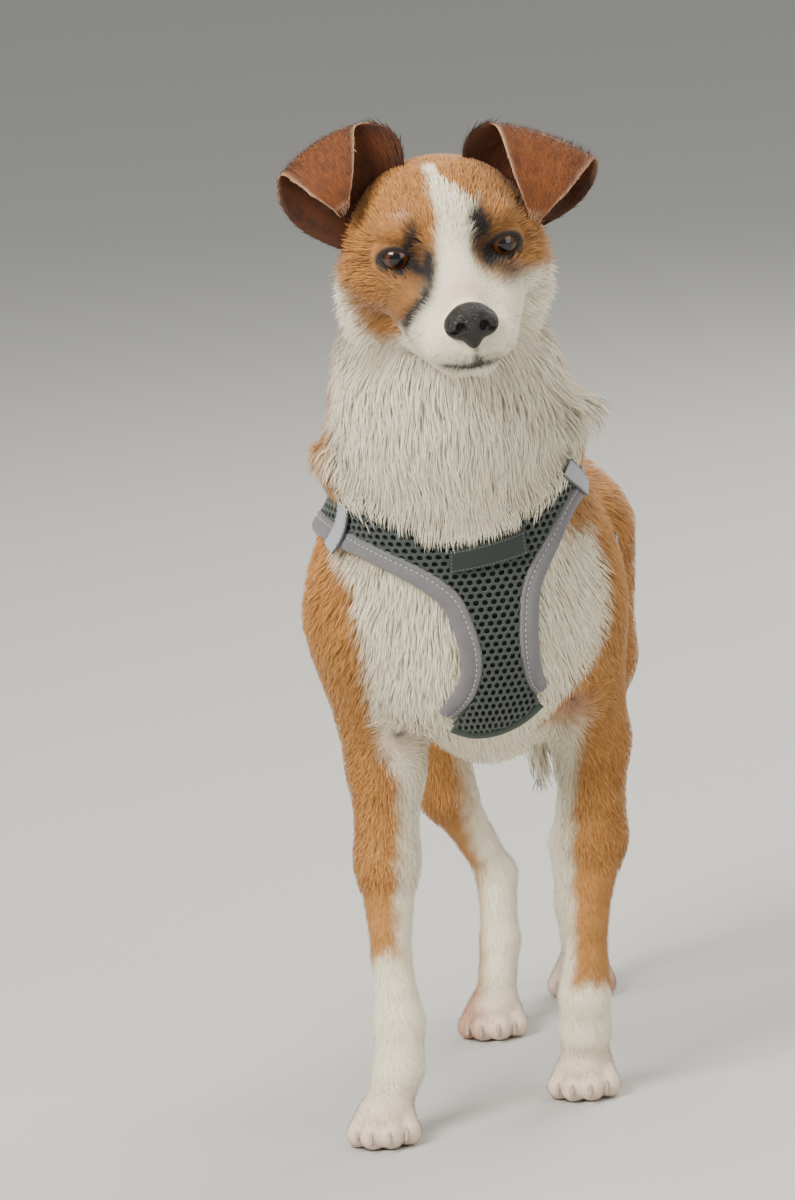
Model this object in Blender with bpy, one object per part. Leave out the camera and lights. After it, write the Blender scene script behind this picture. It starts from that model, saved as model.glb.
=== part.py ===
"""A small terrier cross, standing and looking round, in a step-in mesh harness.

The whole animal is one smooth blend of egg shapes and tapered limbs, meshed once and then
parted by thin flat cuts.  Sizes are in millimetres in the tables and turned into metres
where they are read.  +X is the dog's left, -Y is forwards, +Z is up.
"""
import bpy
import bmesh
import numpy as np
from math import radians, sin, cos, pi
from mathutils import Vector, Matrix
from mathutils.bvhtree import BVHTree

for old in list(bpy.data.objects):
    bpy.data.objects.remove(old, do_unlink=True)

# ---- driving dimensions ----------------------------------------------------------------
MM = 0.001
GAP = 0.3 * MM                # left between pieces that touch
BODY_CELL = 5.0 * MM          # grid that the body is meshed on
NOSE_CELL = 2.0 * MM
BODY_KEEP = 0.125             # share of the meshed faces that the head keeps
PLAIN_KEEP = 0.52             # and of those, what is left over the whole body
PAW_TOP = 60 * MM             # below this the legs keep a few more
PAW_PLAIN = 1.0

EYE_MIDDLE = Vector((30, -140, 504)) * MM     # between the eyes
HEAD_YAW = radians(13)                        # the head looks a little to its left
HEAD_PITCH = radians(10)
HEAD_ROLL = radians(3)
EYE_APART = 57 * MM
EYE_RADIUS = 10 * MM
EYE_DEPTH = -7.0 * MM
NECK_CUT = ((17, -72, 474), (4, -58, 73))     # a point on the cut and its way up, mm

# Where each leg bends and stands, mm
FORELEGS = {
    "right": dict(shoulder=(-50, -22, 290), elbow=(-46, 6, 202), forearm=(-48, -6, 150),
                  narrow=(-48, -20, 98), wrist=(-46, -26, 62), pastern=(-47, -34, 38),
                  paw=(-54, -47, 14.3)),
    "left": dict(shoulder=(64, 4, 290), elbow=(66, 50, 204), forearm=(64.5, 42, 148),
                 narrow=(58, 36, 102), wrist=(53, 36, 60), pastern=(51, 40, 38),
                 paw=(49, 50, 14.3)),
}
HINDLEGS = {
    "right": dict(hip=(-32, 258, 292), knee=(-44, 206, 214), shank=(-41, 226, 146),
                  narrow=(-27, 246, 112), hock=(-18.5, 256, 90), mid=(-18, 244, 52),
                  paw=(-22, 226, 14)),
    "left": dict(hip=(37, 272, 290), knee=(46, 286, 214), shank=(30, 330, 142),
                 narrow=(21, 354, 110), hock=(14, 366, 86), mid=(16, 352, 50),
                 paw=(21, 334, 14)),
}

TOES = ((-13.5, 17), (-5, 25), (5, 25), (13.5, 17))    # across and ahead of the paw, mm


# ---- the body as a blend of simple forms -----------------------------------------------
def egg(centre, radii, blend, turn=None):
    """An ellipsoid; turn is a 3x3 matrix whose columns are its own axes."""
    centre = np.array(centre, float) * MM
    radii = np.array(radii, float) * MM
    turn = np.eye(3) if turn is None else np.array(turn)

    def distance(points):
        local = (points - centre) @ turn
        scaled = np.sqrt(((local / radii) ** 2).sum(-1)) + 1e-9
        steep = np.sqrt(((local / radii ** 2) ** 2).sum(-1)) + 1e-9
        return scaled * (scaled - 1) / steep

    reach = np.abs(turn) @ radii
    return dict(distance=distance, low=centre - reach, high=centre + reach, blend=blend * MM)


def limb(start, end, startRadius, endRadius, blend, flat=1.0):
    """A tapered limb with round ends; flat widens it in Y against X."""
    start = np.array(start, float) * MM
    end = np.array(end, float) * MM
    startRadius = startRadius * MM
    endRadius = endRadius * MM
    squeeze = np.array((1.0, 1.0 / flat, 1.0))
    a = start * squeeze
    along = (end - start) * squeeze
    length2 = (along ** 2).sum()

    def distance(points):
        local = points * squeeze - a
        t = np.clip((local @ along) / length2, 0, 1)
        away = np.sqrt(((local - t[..., None] * along) ** 2).sum(-1))
        return away - (startRadius + t * (endRadius - startRadius))

    fat = max(startRadius, endRadius) * max(flat, 1.0)
    return dict(distance=distance, low=np.minimum(start, end) - fat,
                high=np.maximum(start, end) + fat, blend=blend * MM)


def carve(form):
    form["carve"] = True
    return form


def headAxes():
    """The head's left, forward and up as columns."""
    forward = Vector((sin(HEAD_YAW) * cos(HEAD_PITCH), -cos(HEAD_YAW) * cos(HEAD_PITCH),
                      -sin(HEAD_PITCH)))
    left = Vector((cos(HEAD_YAW), sin(HEAD_YAW), 0))
    up = left.cross(-forward)
    tilted = left * cos(HEAD_ROLL) + up * sin(HEAD_ROLL)
    return np.array((tilted, forward, up * cos(HEAD_ROLL) - left * sin(HEAD_ROLL))).T


HEAD = headAxes()


def onHead(side, forward, up):
    """Head measures in mm to a place in the world, in mm."""
    return tuple(np.array(EYE_MIDDLE) / MM + HEAD @ np.array((side, forward, up), float))


def headForms():
    forms = [
        egg(onHead(0, -45, 7), (45, 50, 33), 16, HEAD),                    # skull
        egg(onHead(0, -22, 11), (33, 26, 20), 12, HEAD),                   # forehead
        limb(onHead(0, -6, -6), onHead(0, 49, -21), 19, 12.5, 12),         # bridge and muzzle
        limb(onHead(0, -10, -28), onHead(0, 52, -38), 24, 13, 10),         # lower muzzle
    ]
    for side in (-1, 1):
        forms += [
            egg(onHead(side * 22, -7, 14), (15, 13, 9), 9, HEAD),          # brow
            egg(onHead(side * 34, -32, -12), (21, 32, 24), 16, HEAD),      # cheek bone
            limb(onHead(side * 27, -8, -17), onHead(side * 16, 30, -25), 15, 14, 12),  # under the eye
            egg(onHead(side * 36, -50, -34), (22, 28, 28), 14, HEAD),      # jaw muscle and ruff
            limb(onHead(side * 18, 6, -29), onHead(side * 13, 48, -34), 16, 14, 8),   # lip
            limb(onHead(side * 20, -24, -44), onHead(side * 7, 40, -49), 14, 9.5, 8),  # jaw
        ]
    for side in (-1, 1):
        forms.append(carve(egg(onHead(side * 30, 6, 0), (11, 7, 7), 5, HEAD)))       # socket
    return forms


def trunkForms():
    return [
        egg((9, 48, 292), (72, 112, 90), 24),                              # ribs
        egg((10, -14, 286), (66, 56, 66), 22),                             # fore chest
        egg((8, 34, 352), (44, 52, 36), 20),                               # withers
        limb((7, 130, 302), (4, 226, 310), 64, 50, 30),                    # loin
        egg((2, 262, 308), (54, 46, 50), 24),                              # rump
        egg((3, 286, 322), (24, 26, 24), 16),                              # tail set
        egg((10, 60, 222), (26, 60, 28), 18),                              # brisket
    ]


def neckForms():
    return [
        limb((13, -72, 470), (12, -50, 416), 50, 60, 20),
        limb((12, -50, 416), (9, -10, 330), 60, 70, 24),
        egg((14, -74, 424), (52, 42, 44), 16),                             # throat ruff
        egg((-42, -48, 390), (24, 32, 16), 12),                            # ruff tips
        egg((70, -50, 406), (24, 32, 16), 12),
    ]


def foreForms(side):
    j = FORELEGS[side]
    out = -1 if side == "right" else 1
    forms = [
        egg(np.array(j["shoulder"]) + (0, 8, 10), (28, 46, 52), 20),       # shoulder
        limb(j["shoulder"], j["elbow"], 30, 21, 16),                       # upper arm
        limb(j["elbow"], j["forearm"], 20, 18, 12, 1.15),
        limb(j["forearm"], j["narrow"], 17.6, 11.6, 8, 1.12),
        limb(j["narrow"], j["wrist"], 11.6, 15.4, 5),
        limb(j["wrist"], j["pastern"], 15.2, 15.0, 5),
        limb(j["pastern"], j["paw"], 14.0, 13.5, 6),
        egg(np.array(j["wrist"]) + (0, 12, -12), (6, 6, 8), 4),            # stopper pad
    ]
    return forms + pawForms(j["paw"], out)


def hindForms(side):
    j = HINDLEGS[side]
    out = -1 if side == "right" else 1
    forms = [
        limb(j["hip"], j["knee"], 42, 25, 18, 1.1),                        # thigh
        egg(np.array(j["hip"]) + (0, 18, -18), (28, 30, 44), 16),          # buttock
        limb(j["knee"], j["shank"], 24, 16.5, 12, 1.15),
        limb(j["shank"], j["narrow"], 16.5, 12, 8, 1.1),
        limb(j["narrow"], j["hock"], 11.5, 13, 5),
        limb(j["hock"], j["mid"], 12.8, 12, 5),
        limb(j["mid"], j["paw"], 12.2, 12.5, 6),
    ]
    return forms + pawForms(j["paw"], out)


def pawForms(paw, out):
    """Four toes in a fan, the palm, and the pad behind it."""
    paw = np.array(paw, float)
    forms = [egg(paw + (0, -6, 1), (17, 20, 15), 5),
             egg(paw + (0, 4, -6), (12, 11, 9.4), 4)]
    for across, ahead in TOES:
        forms.append(limb(paw + (across * 0.8, -10, -1), paw + (across, -ahead, -6.6),
                          8.2, 8.6, 3))
    return forms


def bodyForms():
    forms = trunkForms() + neckForms()
    for side in ("right", "left"):
        forms += foreForms(side) + hindForms(side)
    return forms + headForms()


def tailForms():
    spine = [(3, 300, 326), (3, 330, 312), (2, 346, 276), (1, 350, 226), (1, 348, 176),
             (2, 344, 136)]
    fat = (16, 15, 14, 13, 11.5, 7)
    return [limb(a, b, p, q, 5) for a, b, p, q in zip(spine, spine[1:], fat, fat[1:])]


def merge(field, value, form):
    """Smooth union, or smooth cut where the form is a carving."""
    k = form["blend"]
    if form.get("carve"):
        field, value = -field, value
        h = np.clip(k - np.abs(field - value), 0, None) / k
        return -(np.minimum(field, value) - h * h * k * 0.25)
    h = np.clip(k - np.abs(field - value), 0, None) / k
    return np.minimum(field, value) - h * h * k * 0.25


def fieldAt(points, forms):
    """Distance from each point to the surface, negative inside."""
    field = np.full(len(points), 0.06)
    for form in forms:
        pad = form["blend"] + 0.012
        near = np.all((points > form["low"] - pad) & (points < form["high"] + pad), axis=1)
        if near.any():
            field[near] = merge(field[near], form["distance"](points[near]), form)
    return field


def slope(points, forms, step=0.4 * MM):
    """The field's outward direction at each point."""
    grad = np.stack([fieldAt(points + step * e, forms) - fieldAt(points - step * e, forms)
                     for e in np.eye(3)], axis=1)
    return grad / (np.linalg.norm(grad, axis=1, keepdims=True) + 1e-12)


def settle(points, forms, lift=0.0, rounds=4):
    """Move points on to the surface, or lift above it, and give the way out there."""
    for _ in range(rounds):
        away = slope(points, forms)
        points = points - away * (fieldAt(points, forms) - lift)[:, None]
    return points, slope(points, forms)


def meshField(forms, cell):
    """Net one surface round the blend: points on it and the four-sided faces between."""
    low = np.min([f["low"] for f in forms], axis=0) - 3 * cell
    high = np.max([f["high"] for f in forms], axis=0) + 3 * cell
    axes = [np.arange(a, b, cell) for a, b in zip(low, high)]
    field = np.full([len(a) for a in axes], 0.06)
    for form in forms:
        pad = form["blend"] + 0.012
        cut = [slice(*np.searchsorted(a, (lo - pad, hi + pad)))
               for a, lo, hi in zip(axes, form["low"], form["high"])]
        grid = np.stack(np.meshgrid(*[a[c] for a, c in zip(axes, cut)], indexing="ij"), -1)
        field[tuple(cut)] = merge(field[tuple(cut)], form["distance"](grid), form)
    inside = field < 0
    count = np.zeros([n - 1 for n in field.shape], int)
    middle = np.zeros(count.shape + (3,))
    hits = np.zeros(count.shape)
    whole = slice(0, -1), slice(1, None)
    for corner in np.ndindex(2, 2, 2):
        count += inside[tuple(whole[c] for c in corner)]
    for axis in range(3):
        for corner in np.ndindex(2, 2, 2):
            if corner[axis]:
                continue
            far = [c + (i == axis) for i, c in enumerate(corner)]
            v0 = field[tuple(whole[c] for c in corner)]
            v1 = field[tuple(whole[c] for c in far)]
            cross = (v0 < 0) != (v1 < 0)
            t = np.where(cross, v0 / np.where(v0 == v1, 1, v0 - v1), 0)
            for i in range(3):
                middle[..., i] += np.where(cross, t if i == axis else corner[i], 0)
            hits += cross
    active = (count > 0) & (count < 8)
    index = np.full(count.shape, -1)
    index[active] = np.arange(active.sum())
    where = np.argwhere(active)
    points = low + cell * (where + middle[active] / hits[active][:, None])
    faces = []
    for axis in range(3):
        u, v = [(1, 2), (2, 0), (0, 1)][axis]
        first = [slice(None)] * 3
        last = [slice(None)] * 3
        first[axis], last[axis] = whole
        change = inside[tuple(first)] != inside[tuple(last)]
        at = np.argwhere(change)
        at = at[(at[:, u] > 0) & (at[:, v] > 0)]
        outward = inside[tuple(first)][tuple(at.T)]
        back = np.eye(3, dtype=int)
        ring = [at, at - back[u], at - back[u] - back[v], at - back[v]]
        quad = np.stack([index[tuple(r.T)] for r in ring], 1)
        quad[~outward] = quad[~outward][:, ::-1]
        faces.append(quad)
    points, _ = settle(points, forms, rounds=2)
    return points, np.concatenate(faces)


def scaled(points):
    return np.array(points, float) * MM


# ---- objects and materials ---------------------------------------------------------------
def material(name, colour, roughness, metallic=0.0):
    """A plain Principled finish; colour is linear red, green, blue."""
    made = bpy.data.materials.new(name)
    made.use_nodes = True
    shader = made.node_tree.nodes["Principled BSDF"]
    shader.inputs["Base Color"].default_value = (*colour, 1)
    shader.inputs["Roughness"].default_value = roughness
    shader.inputs["Metallic"].default_value = metallic
    return made


TAN = (0.55, 0.29, 0.11)
CREAM = (0.78, 0.73, 0.62)
FINISHES = {
    "tan": (TAN, 0.8), "cream": (CREAM, 0.8), "ear": ((0.28, 0.09, 0.03), 0.75),
    "nose": ((0.03, 0.03, 0.035), 0.35), "eye": ((0.06, 0.025, 0.01), 0.1),
    "claw": ((0.35, 0.26, 0.2), 0.4), "mesh": ((0.06, 0.08, 0.08), 0.8),
    "binding": ((0.3, 0.28, 0.32), 0.75), "webbing": ((0.22, 0.21, 0.24), 0.8),
    "plastic": ((0.03, 0.03, 0.03), 0.45), "label": ((0.04, 0.06, 0.05), 0.7),
    "steel": ((0.6, 0.6, 0.6), 0.3, 1.0),
}


def addObject(name, mesh, finish):
    mesh.shade_smooth()
    mesh.set_sharp_from_angle(angle=radians(40))
    placed = bpy.data.objects.new(name, mesh)
    placed.data.materials.append(material(name + "_finish", *FINISHES[finish]))
    bpy.context.collection.objects.link(placed)
    return placed


def meshFrom(name, points, faces):
    mesh = bpy.data.meshes.new(name)
    mesh.from_pydata([tuple(p) for p in points], [], [tuple(int(i) for i in f) for f in faces])
    shape = bmesh.new()
    shape.from_mesh(mesh)
    bmesh.ops.recalc_face_normals(shape, faces=shape.faces)
    shape.to_mesh(mesh)
    shape.free()
    return mesh


def cutter(name, mesh):
    hidden = bpy.data.objects.new(name, mesh)
    hidden.hide_render = True
    hidden.display_type = "WIRE"
    bpy.context.collection.objects.link(hidden)
    return hidden


def boolean(target, tool, operation):
    step = target.modifiers.new(tool.name, "BOOLEAN")
    step.operation = operation
    step.object = tool
    step.solver = "EXACT"


def evaluated(source):
    """The object's mesh with its modifiers carried out."""
    graph = bpy.context.evaluated_depsgraph_get()
    return bpy.data.meshes.new_from_object(source.evaluated_get(graph))


def thinned(name, points, faces, keep, plain=None, plainKeep=1.0):
    """Fewer faces on the same shape; plain weighs the points that can lose yet more."""
    source = cutter(name + "_full", meshFrom(name + "_full", points, faces))
    source.modifiers.new("fewer", "DECIMATE").ratio = keep
    if plain is not None:
        group = source.vertex_groups.new(name="plain")
        for weight in np.unique(plain):
            group.add(np.flatnonzero(plain == weight).tolist(), float(weight), "REPLACE")
        step = source.modifiers.new("fewer_yet", "DECIMATE")
        step.ratio = plainKeep
        step.vertex_group = "plain"
    bpy.context.view_layer.update()
    mesh = evaluated(source)
    bpy.data.objects.remove(source, do_unlink=True)
    return mesh


def grown(name, mesh, by=GAP):
    """A copy pushed out along its normals, to cut a neighbour clear of it."""
    copy = mesh.copy()
    push = np.array([v.normal for v in copy.vertices]) * by
    places = np.array([v.co for v in copy.vertices]) + push
    copy.vertices.foreach_set("co", places.ravel())
    return cutter(name + "_room", copy)


def wedge(name, planes, grow=0.0):
    """A block with each plane cut off; a plane is a point in mm and the way out of it."""
    shape = bmesh.new()
    bmesh.ops.create_cube(shape, size=2.0)
    for point, out in planes:
        out = Vector(out).normalized()
        loose = bmesh.ops.bisect_plane(shape, geom=shape.verts[:] + shape.edges[:] + shape.faces[:],
                                       plane_co=Vector(point) * MM + out * grow, plane_no=out,
                                       clear_outer=True)["geom_cut"]
        bmesh.ops.contextual_create(shape, geom=[e for e in loose
                                                 if isinstance(e, bmesh.types.BMEdge)])
    bmesh.ops.recalc_face_normals(shape, faces=shape.faces)
    mesh = bpy.data.meshes.new(name)
    shape.to_mesh(mesh)
    shape.free()
    return cutter(name, mesh)


# ---- parting the body ---------------------------------------------------------------------
HALF = GAP / 2
FLOOR = ((0, 0, 0), (0, 0, -1))
NECK_BASE = ((9, -40, 375), (0, -46, 127))
CHEST_END = 150               # cuts across the trunk, in y
LOIN_END = 222
ELBOW_CUT = 188               # cuts across the legs, in z
WRIST_CUT = 62
KNEE_CUT = 196
HOCK_CUT = 102
FORE_MIDLINE = 10             # between the left and right legs, in x
HIND_MIDLINE = 2.5
FLANK = {"right": (164, 230), "left": (250, 224)}    # front of the thigh, at the knee cut
                                                    # and 100 higher, in y
HIND_FEET_APART = 287         # the right hind foot stands ahead of this y


def flipped(plane):
    return plane[0], tuple(-n for n in plane[1])


def across(axis, at, way):
    """A plane square to an axis; the part kept lies on the other side from way."""
    point = [0, 0, 0]
    out = [0, 0, 0]
    point[axis] = at
    out[axis] = way
    return tuple(point), tuple(out)


def thighPlanes(side):
    """The thigh lies outside a slanted cut through the hip and behind one along the flank."""
    way = 1 if side == "right" else -1
    return [((HIND_MIDLINE - way * 8, 0, 228), (way * 72, 0, 54)),
            across(0, HIND_MIDLINE - way * 1.0, way),
            ((0, FLANK[side][0], KNEE_CUT), (0, -100, FLANK[side][1] - FLANK[side][0])),
            across(2, KNEE_CUT, -1)]


JAW_PLANES = [(onHead(0, -4, 0), tuple(-HEAD[:, 1])), (onHead(0, 0, -47.5), tuple(HEAD[:, 2]))]


def partBody(body):
    """Each piece is the whole body inside its own wedge."""
    def piece(name, finish, planes, rooms=()):
        made = addObject(name, body.copy(), finish)
        boolean(made, wedge(name + "_wedge", planes, -HALF), "INTERSECT")
        for room in rooms:
            boolean(made, room, "DIFFERENCE")
        return made

    thighRooms = [wedge("thigh_" + side + "_room", thighPlanes(side), HALF)
                  for side in ("right", "left")]
    jawRoom = wedge("jaw_room", JAW_PLANES, HALF)
    pieces = {
        "head": piece("head", "tan", [flipped(NECK_CUT)], [jawRoom]),
        "lower_jaw": piece("lower_jaw", "cream", JAW_PLANES + [flipped(NECK_CUT)]),
        "neck": piece("neck", "cream", [NECK_CUT, flipped(NECK_BASE)]),
        "chest": piece("chest", "tan", [NECK_BASE, across(1, CHEST_END, 1),
                                        across(2, ELBOW_CUT, -1)]),
        "loin": piece("loin", "tan", [NECK_BASE, across(1, CHEST_END, -1),
                                      across(1, LOIN_END, 1), across(2, KNEE_CUT, -1)],
                      thighRooms),
        "rump": piece("rump", "tan", [NECK_BASE, across(1, LOIN_END, -1),
                                      across(2, KNEE_CUT, -1)], thighRooms),
    }
    for side, way in (("right", 1), ("left", -1)):
        inner = across(0, FORE_MIDLINE, way)
        front = across(1, CHEST_END, 1)
        behind = across(1, CHEST_END, -1)
        foot = across(1, HIND_FEET_APART, way)
        cuts = {
            "foreleg": [inner, front, across(2, ELBOW_CUT, 1), across(2, WRIST_CUT, -1)],
            "forepaw": [inner, front, across(2, WRIST_CUT, 1), FLOOR],
            "thigh": thighPlanes(side),
            "shank": [across(0, HIND_MIDLINE, way), behind, across(2, KNEE_CUT, 1),
                      across(2, HOCK_CUT, -1)],
            "hindfoot": [foot, behind, across(2, HOCK_CUT, 1), FLOOR],
        }
        for name, planes in cuts.items():
            finish = "cream" if name in ("forepaw", "hindfoot") else "tan"
            pieces[name + "_" + side] = piece(name + "_" + side, finish, planes)
    return pieces


def roundMesh(name, centre, radius, rings=8):
    shape = bmesh.new()
    bmesh.ops.create_uvsphere(shape, u_segments=2 * rings, v_segments=rings, radius=radius)
    bmesh.ops.rotate(shape, verts=shape.verts, matrix=Matrix.Rotation(radians(90), 3, "X"))
    bmesh.ops.translate(shape, verts=shape.verts, vec=centre)
    mesh = bpy.data.meshes.new(name)
    shape.to_mesh(mesh)
    shape.free()
    return mesh


def addEyes(head):
    for side, name in ((-1, "eye_right"), (1, "eye_left")):
        centre = Vector(onHead(side * EYE_APART / 2 / MM, EYE_DEPTH / MM, 0)) * MM
        addObject(name, roundMesh(name, centre, EYE_RADIUS), "eye")
        room = cutter(name + "_room", roundMesh(name + "_room", centre, EYE_RADIUS + GAP))
        boolean(head, room, "DIFFERENCE")


def noseForms():
    forms = [
        egg(onHead(1, 61, -22.5), (12.5, 9.5, 9.5), 3, HEAD),
        egg(onHead(1, 60, -17), (9.5, 9, 5), 3, HEAD),
        egg(onHead(1, 62, -30), (4.5, 6.5, 6), 3, HEAD),
    ]
    for side in (-1, 1):
        forms.append(egg(onHead(1 + side * 8.5, 61, -23), (6, 8.5, 6.5), 3, HEAD))
    for side in (-1, 1):
        forms.append(carve(egg(onHead(1 + side * 6.5, 71, -23), (3.4, 4.5, 3.8), 2, HEAD)))
    return forms


def addNose(head):
    points, faces = meshField(noseForms(), NOSE_CELL)
    mesh = thinned("nose", points, faces, 0.24)
    addObject("nose", mesh, "nose")
    boolean(head, grown("nose", mesh), "DIFFERENCE")


def addTail(body):
    points, faces = meshField(tailForms(), 5 * MM)
    tail = addObject("tail", thinned("tail", points, faces, 0.1), "tan")
    boolean(tail, body, "DIFFERENCE")


CLAW = dict(length=9, root=2.3, tip=0.8, drop=6.0, sides=5)      # mm


def addClaws(room):
    """Four short curved claws on each paw, ahead of the toes and just off the floor."""
    for pair, legs in (("fore", FORELEGS), ("hind", HINDLEGS)):
        for side, joints in legs.items():
            for number, (aside, ahead) in enumerate(TOES, 1):
                name = "claw_%s_%s_%d" % (pair, side, number)
                start = np.array(joints["paw"]) + (aside, -ahead - 5, -4.0)
                rings = []
                for step in range(3):
                    t = step / 2
                    middle = start + (aside * 0.05 * t, -CLAW["length"] * t,
                                      -CLAW["drop"] * t * t)
                    size = CLAW["root"] + (CLAW["tip"] - CLAW["root"]) * t
                    turn = [2 * pi * k / CLAW["sides"] for k in range(CLAW["sides"])]
                    rings.append([middle + (size * cos(a) * 0.8, 0, size * sin(a)) for a in turn])
                claw = addObject(name, tubeMesh(name, rings), "claw")
                boolean(claw, room, "DIFFERENCE")


def tubeMesh(name, rings):
    """A closed solid through rings of points in mm, flat at both ends."""
    count = len(rings[0])
    points = scaled([p for ring in rings for p in ring])
    faces = [tuple(range(count))]
    for r in range(len(rings) - 1):
        for k in range(count):
            a = r * count + k
            b = r * count + (k + 1) % count
            faces.append((a, b, b + count, a + count))
    faces.append(tuple(range(len(points) - 1, len(points) - 1 - count, -1)))
    return meshFrom(name, points, faces)


# ---- ears -----------------------------------------------------------------------------------
# Each ear stands up as a cup open to the front, then folds over: its flap hangs forward.
# side, forward and up of the head in mm: inner and outer base, inner and outer end of the
# fold, the outer edge half way up, and the tip of the flap.
EARS = {
    "right": dict(side=-1, inner=(15, -50, 34), outer=(54, -40, -2), foldIn=(39, -56, 63),
                  foldOut=(83, -46, 45), edge=(84, -44, 18), tip=(53, -20, 27)),
    "left": dict(side=1, inner=(17, -50, 33), outer=(56, -40, -4), foldIn=(38, -56, 53),
                 foldOut=(90, -47, 30), edge=(84, -44, 8), tip=(50, -20, 8)),
}
EAR_THICK = 3.0               # mm, with its coat
EAR_CUP = 16                  # how far the cup bows back
EAR_ROWS = 11
EAR_COLUMNS = 7


def bend(a, b, c, t):
    """A point on the curve from a to c that b pulls towards itself."""
    return (1 - t) ** 2 * a + 2 * t * (1 - t) * b + t * t * c


def earSurface(ear, u, v):
    """Place on the ear's middle sheet: u from the inner to the outer edge, v base to tip."""
    side = np.array((ear["side"], 1, 1))
    inner, outer, foldIn, foldOut, edge, tip = [np.array(ear[k], float) for k in
                                                ("inner", "outer", "foldIn", "foldOut", "edge", "tip")]
    back = np.array((0.0, -1.0, 0.0))
    base = bend(inner, (inner + outer) / 2 + back * 26 - (6, 0, 6), outer, u)
    fold = bend(foldIn, (foldIn + foldOut) / 2 + (0, -8, 7), foldOut, u)
    if v <= 1:
        waist = (base + fold) / 2 + back * EAR_CUP * np.sin(pi * u) * 0.9
        waist = waist + (edge * 2 - (outer + foldOut)) / 2 * u ** 3 * 1.6
        place = bend(base, waist, fold, v)
    else:
        t = v - 1
        along = (foldOut - foldIn) / np.linalg.norm(foldOut - foldIn)
        end = tip + along * (u - 0.5) * 9
        pull = fold * 0.52 + end * 0.48 + (0, 13, 6)
        place = bend(fold, pull, end, t)
    return HEAD @ (place * side) + np.array(EYE_MIDDLE) / MM


def addEars(headRoom):
    for name, ear in EARS.items():
        grid = np.array([[earSurface(ear, c / (EAR_COLUMNS - 1), 2 * r / (EAR_ROWS - 1))
                          for c in range(EAR_COLUMNS)] for r in range(EAR_ROWS)])
        way = np.cross(np.gradient(grid, axis=0), np.gradient(grid, axis=1))
        way /= np.linalg.norm(way, axis=2, keepdims=True)
        mesh = shellMesh("ear_" + name, grid - way * EAR_THICK / 2, grid + way * EAR_THICK / 2)
        made = addObject("ear_" + name, mesh, "ear")
        boolean(made, headRoom, "DIFFERENCE")


def shellMesh(name, under, over):
    """A closed sheet between two grids of points in mm."""
    rows, columns = over.shape[:2]
    count = rows * columns
    points = scaled(np.concatenate([under.reshape(-1, 3), over.reshape(-1, 3)]))
    faces = []
    for r in range(rows - 1):
        for c in range(columns - 1):
            a = r * columns + c
            quad = (a, a + 1, a + columns + 1, a + columns)
            faces.append(quad[::-1])
            faces.append(tuple(i + count for i in quad))
    rim = [c for c in range(columns)] + [r * columns + columns - 1 for r in range(1, rows)]
    rim += [(rows - 1) * columns + c for c in range(columns - 2, -1, -1)]
    rim += [r * columns for r in range(rows - 2, 0, -1)]
    for a, b in zip(rim, rim[1:] + rim[:1]):
        faces.append((a, b, b + count, a + count))
    return meshFrom(name, points, faces)


# ---- harness ----------------------------------------------------------------------------------
# Guide points in mm, a little off the coat; every piece is then laid on the body.
PANEL_THICK = 3.0
PANEL_LIFT = 2.1              # clear of the coat, mm
BINDING_WIDTH = 9.0
BINDING_THICK = 3.8
SEAM = 2.2                    # between the panel and its bindings
STRAP_WIDTH = 20.0
STRAP_THICK = 2.0
ARMHOLE_RIGHT = [(1, -52, 236), (15, -64, 251), (21, -70, 269), (20, -76, 289), (11, -80, 313),
                 (-12, -80, 331), (-41, -64, 344), (-66, -24, 352)]
ARMHOLE_LEFT = [(48, -47, 245), (43, -57, 257), (42, -65, 275), (43, -69, 292), (47, -70, 314),
                (58, -64, 335), (70, -50, 357), (77, -24, 366)]
NECKLINE = [(-66, -24, 352), (-68, -32, 364), (-63, -44, 373), (-42, -70, 368), (-17, -82, 353),
            (6, -87, 344), (27, -85, 346), (48, -76, 353), (64, -64, 366), (73, -48, 379),
            (78, -36, 379), (77, -24, 366)]
HEM = [(1, -52, 236), (12, -49, 230), (24, -48, 230), (37, -47, 236), (48, -47, 245)]
SHOULDER_STRAPS = {
    "right": [(-67, -19, 361), (-64, 0, 366), (-48, 20, 380), (-28, 36, 388), (-13, 48, 391)],
    "left": [(78, -19, 372), (76, 2, 370), (64, 20, 378), (46, 36, 388), (30, 48, 391)],
}
GIRTH_STRAPS = {
    "right": [(-4, -34, 222), (-8, 0, 204), (-12, 46, 196), (-34, 84, 210), (-64, 102, 250),
              (-68, 104, 300), (-48, 94, 352), (-14, 74, 388)],
    "left": [(42, -30, 226), (34, 10, 206), (32, 56, 196), (52, 96, 212), (80, 112, 256),
             (82, 110, 300), (62, 96, 352), (31, 74, 388)],
}
TABS = {"right": [(-43, -67, 363), (-54, -50, 333)], "left": [(70, -62, 376), (77, -30, 358)]}
LABEL = dict(low=(10, -84, 324), high=(11, -86, 338), lowEnd=(49, -72, 331), highEnd=(48, -76, 345))
BACK = (9, 62)                # where the buckle lies, in x and y


def curveThrough(guides, count):
    """Evenly spaced points on a smooth curve through the guides."""
    guides = np.array(guides, float)
    ends = np.vstack([2 * guides[0] - guides[1], guides, 2 * guides[-1] - guides[-2]])
    fine = []
    for a, b, c, d in zip(ends, ends[1:], ends[2:], ends[3:]):
        for t in np.linspace(0, 1, 16, endpoint=False):
            fine.append(0.5 * (2 * b + (c - a) * t + (2 * a - 5 * b + 4 * c - d) * t ** 2
                               + (3 * b - a - 3 * c + d) * t ** 3))
    fine = np.array(fine + [guides[-1]])
    run = np.concatenate([[0], np.cumsum(np.linalg.norm(np.diff(fine, axis=0), axis=1))])
    even = np.linspace(0, run[-1], count)
    return np.stack([np.interp(even, run, fine[:, i]) for i in range(3)], axis=1)


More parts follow.
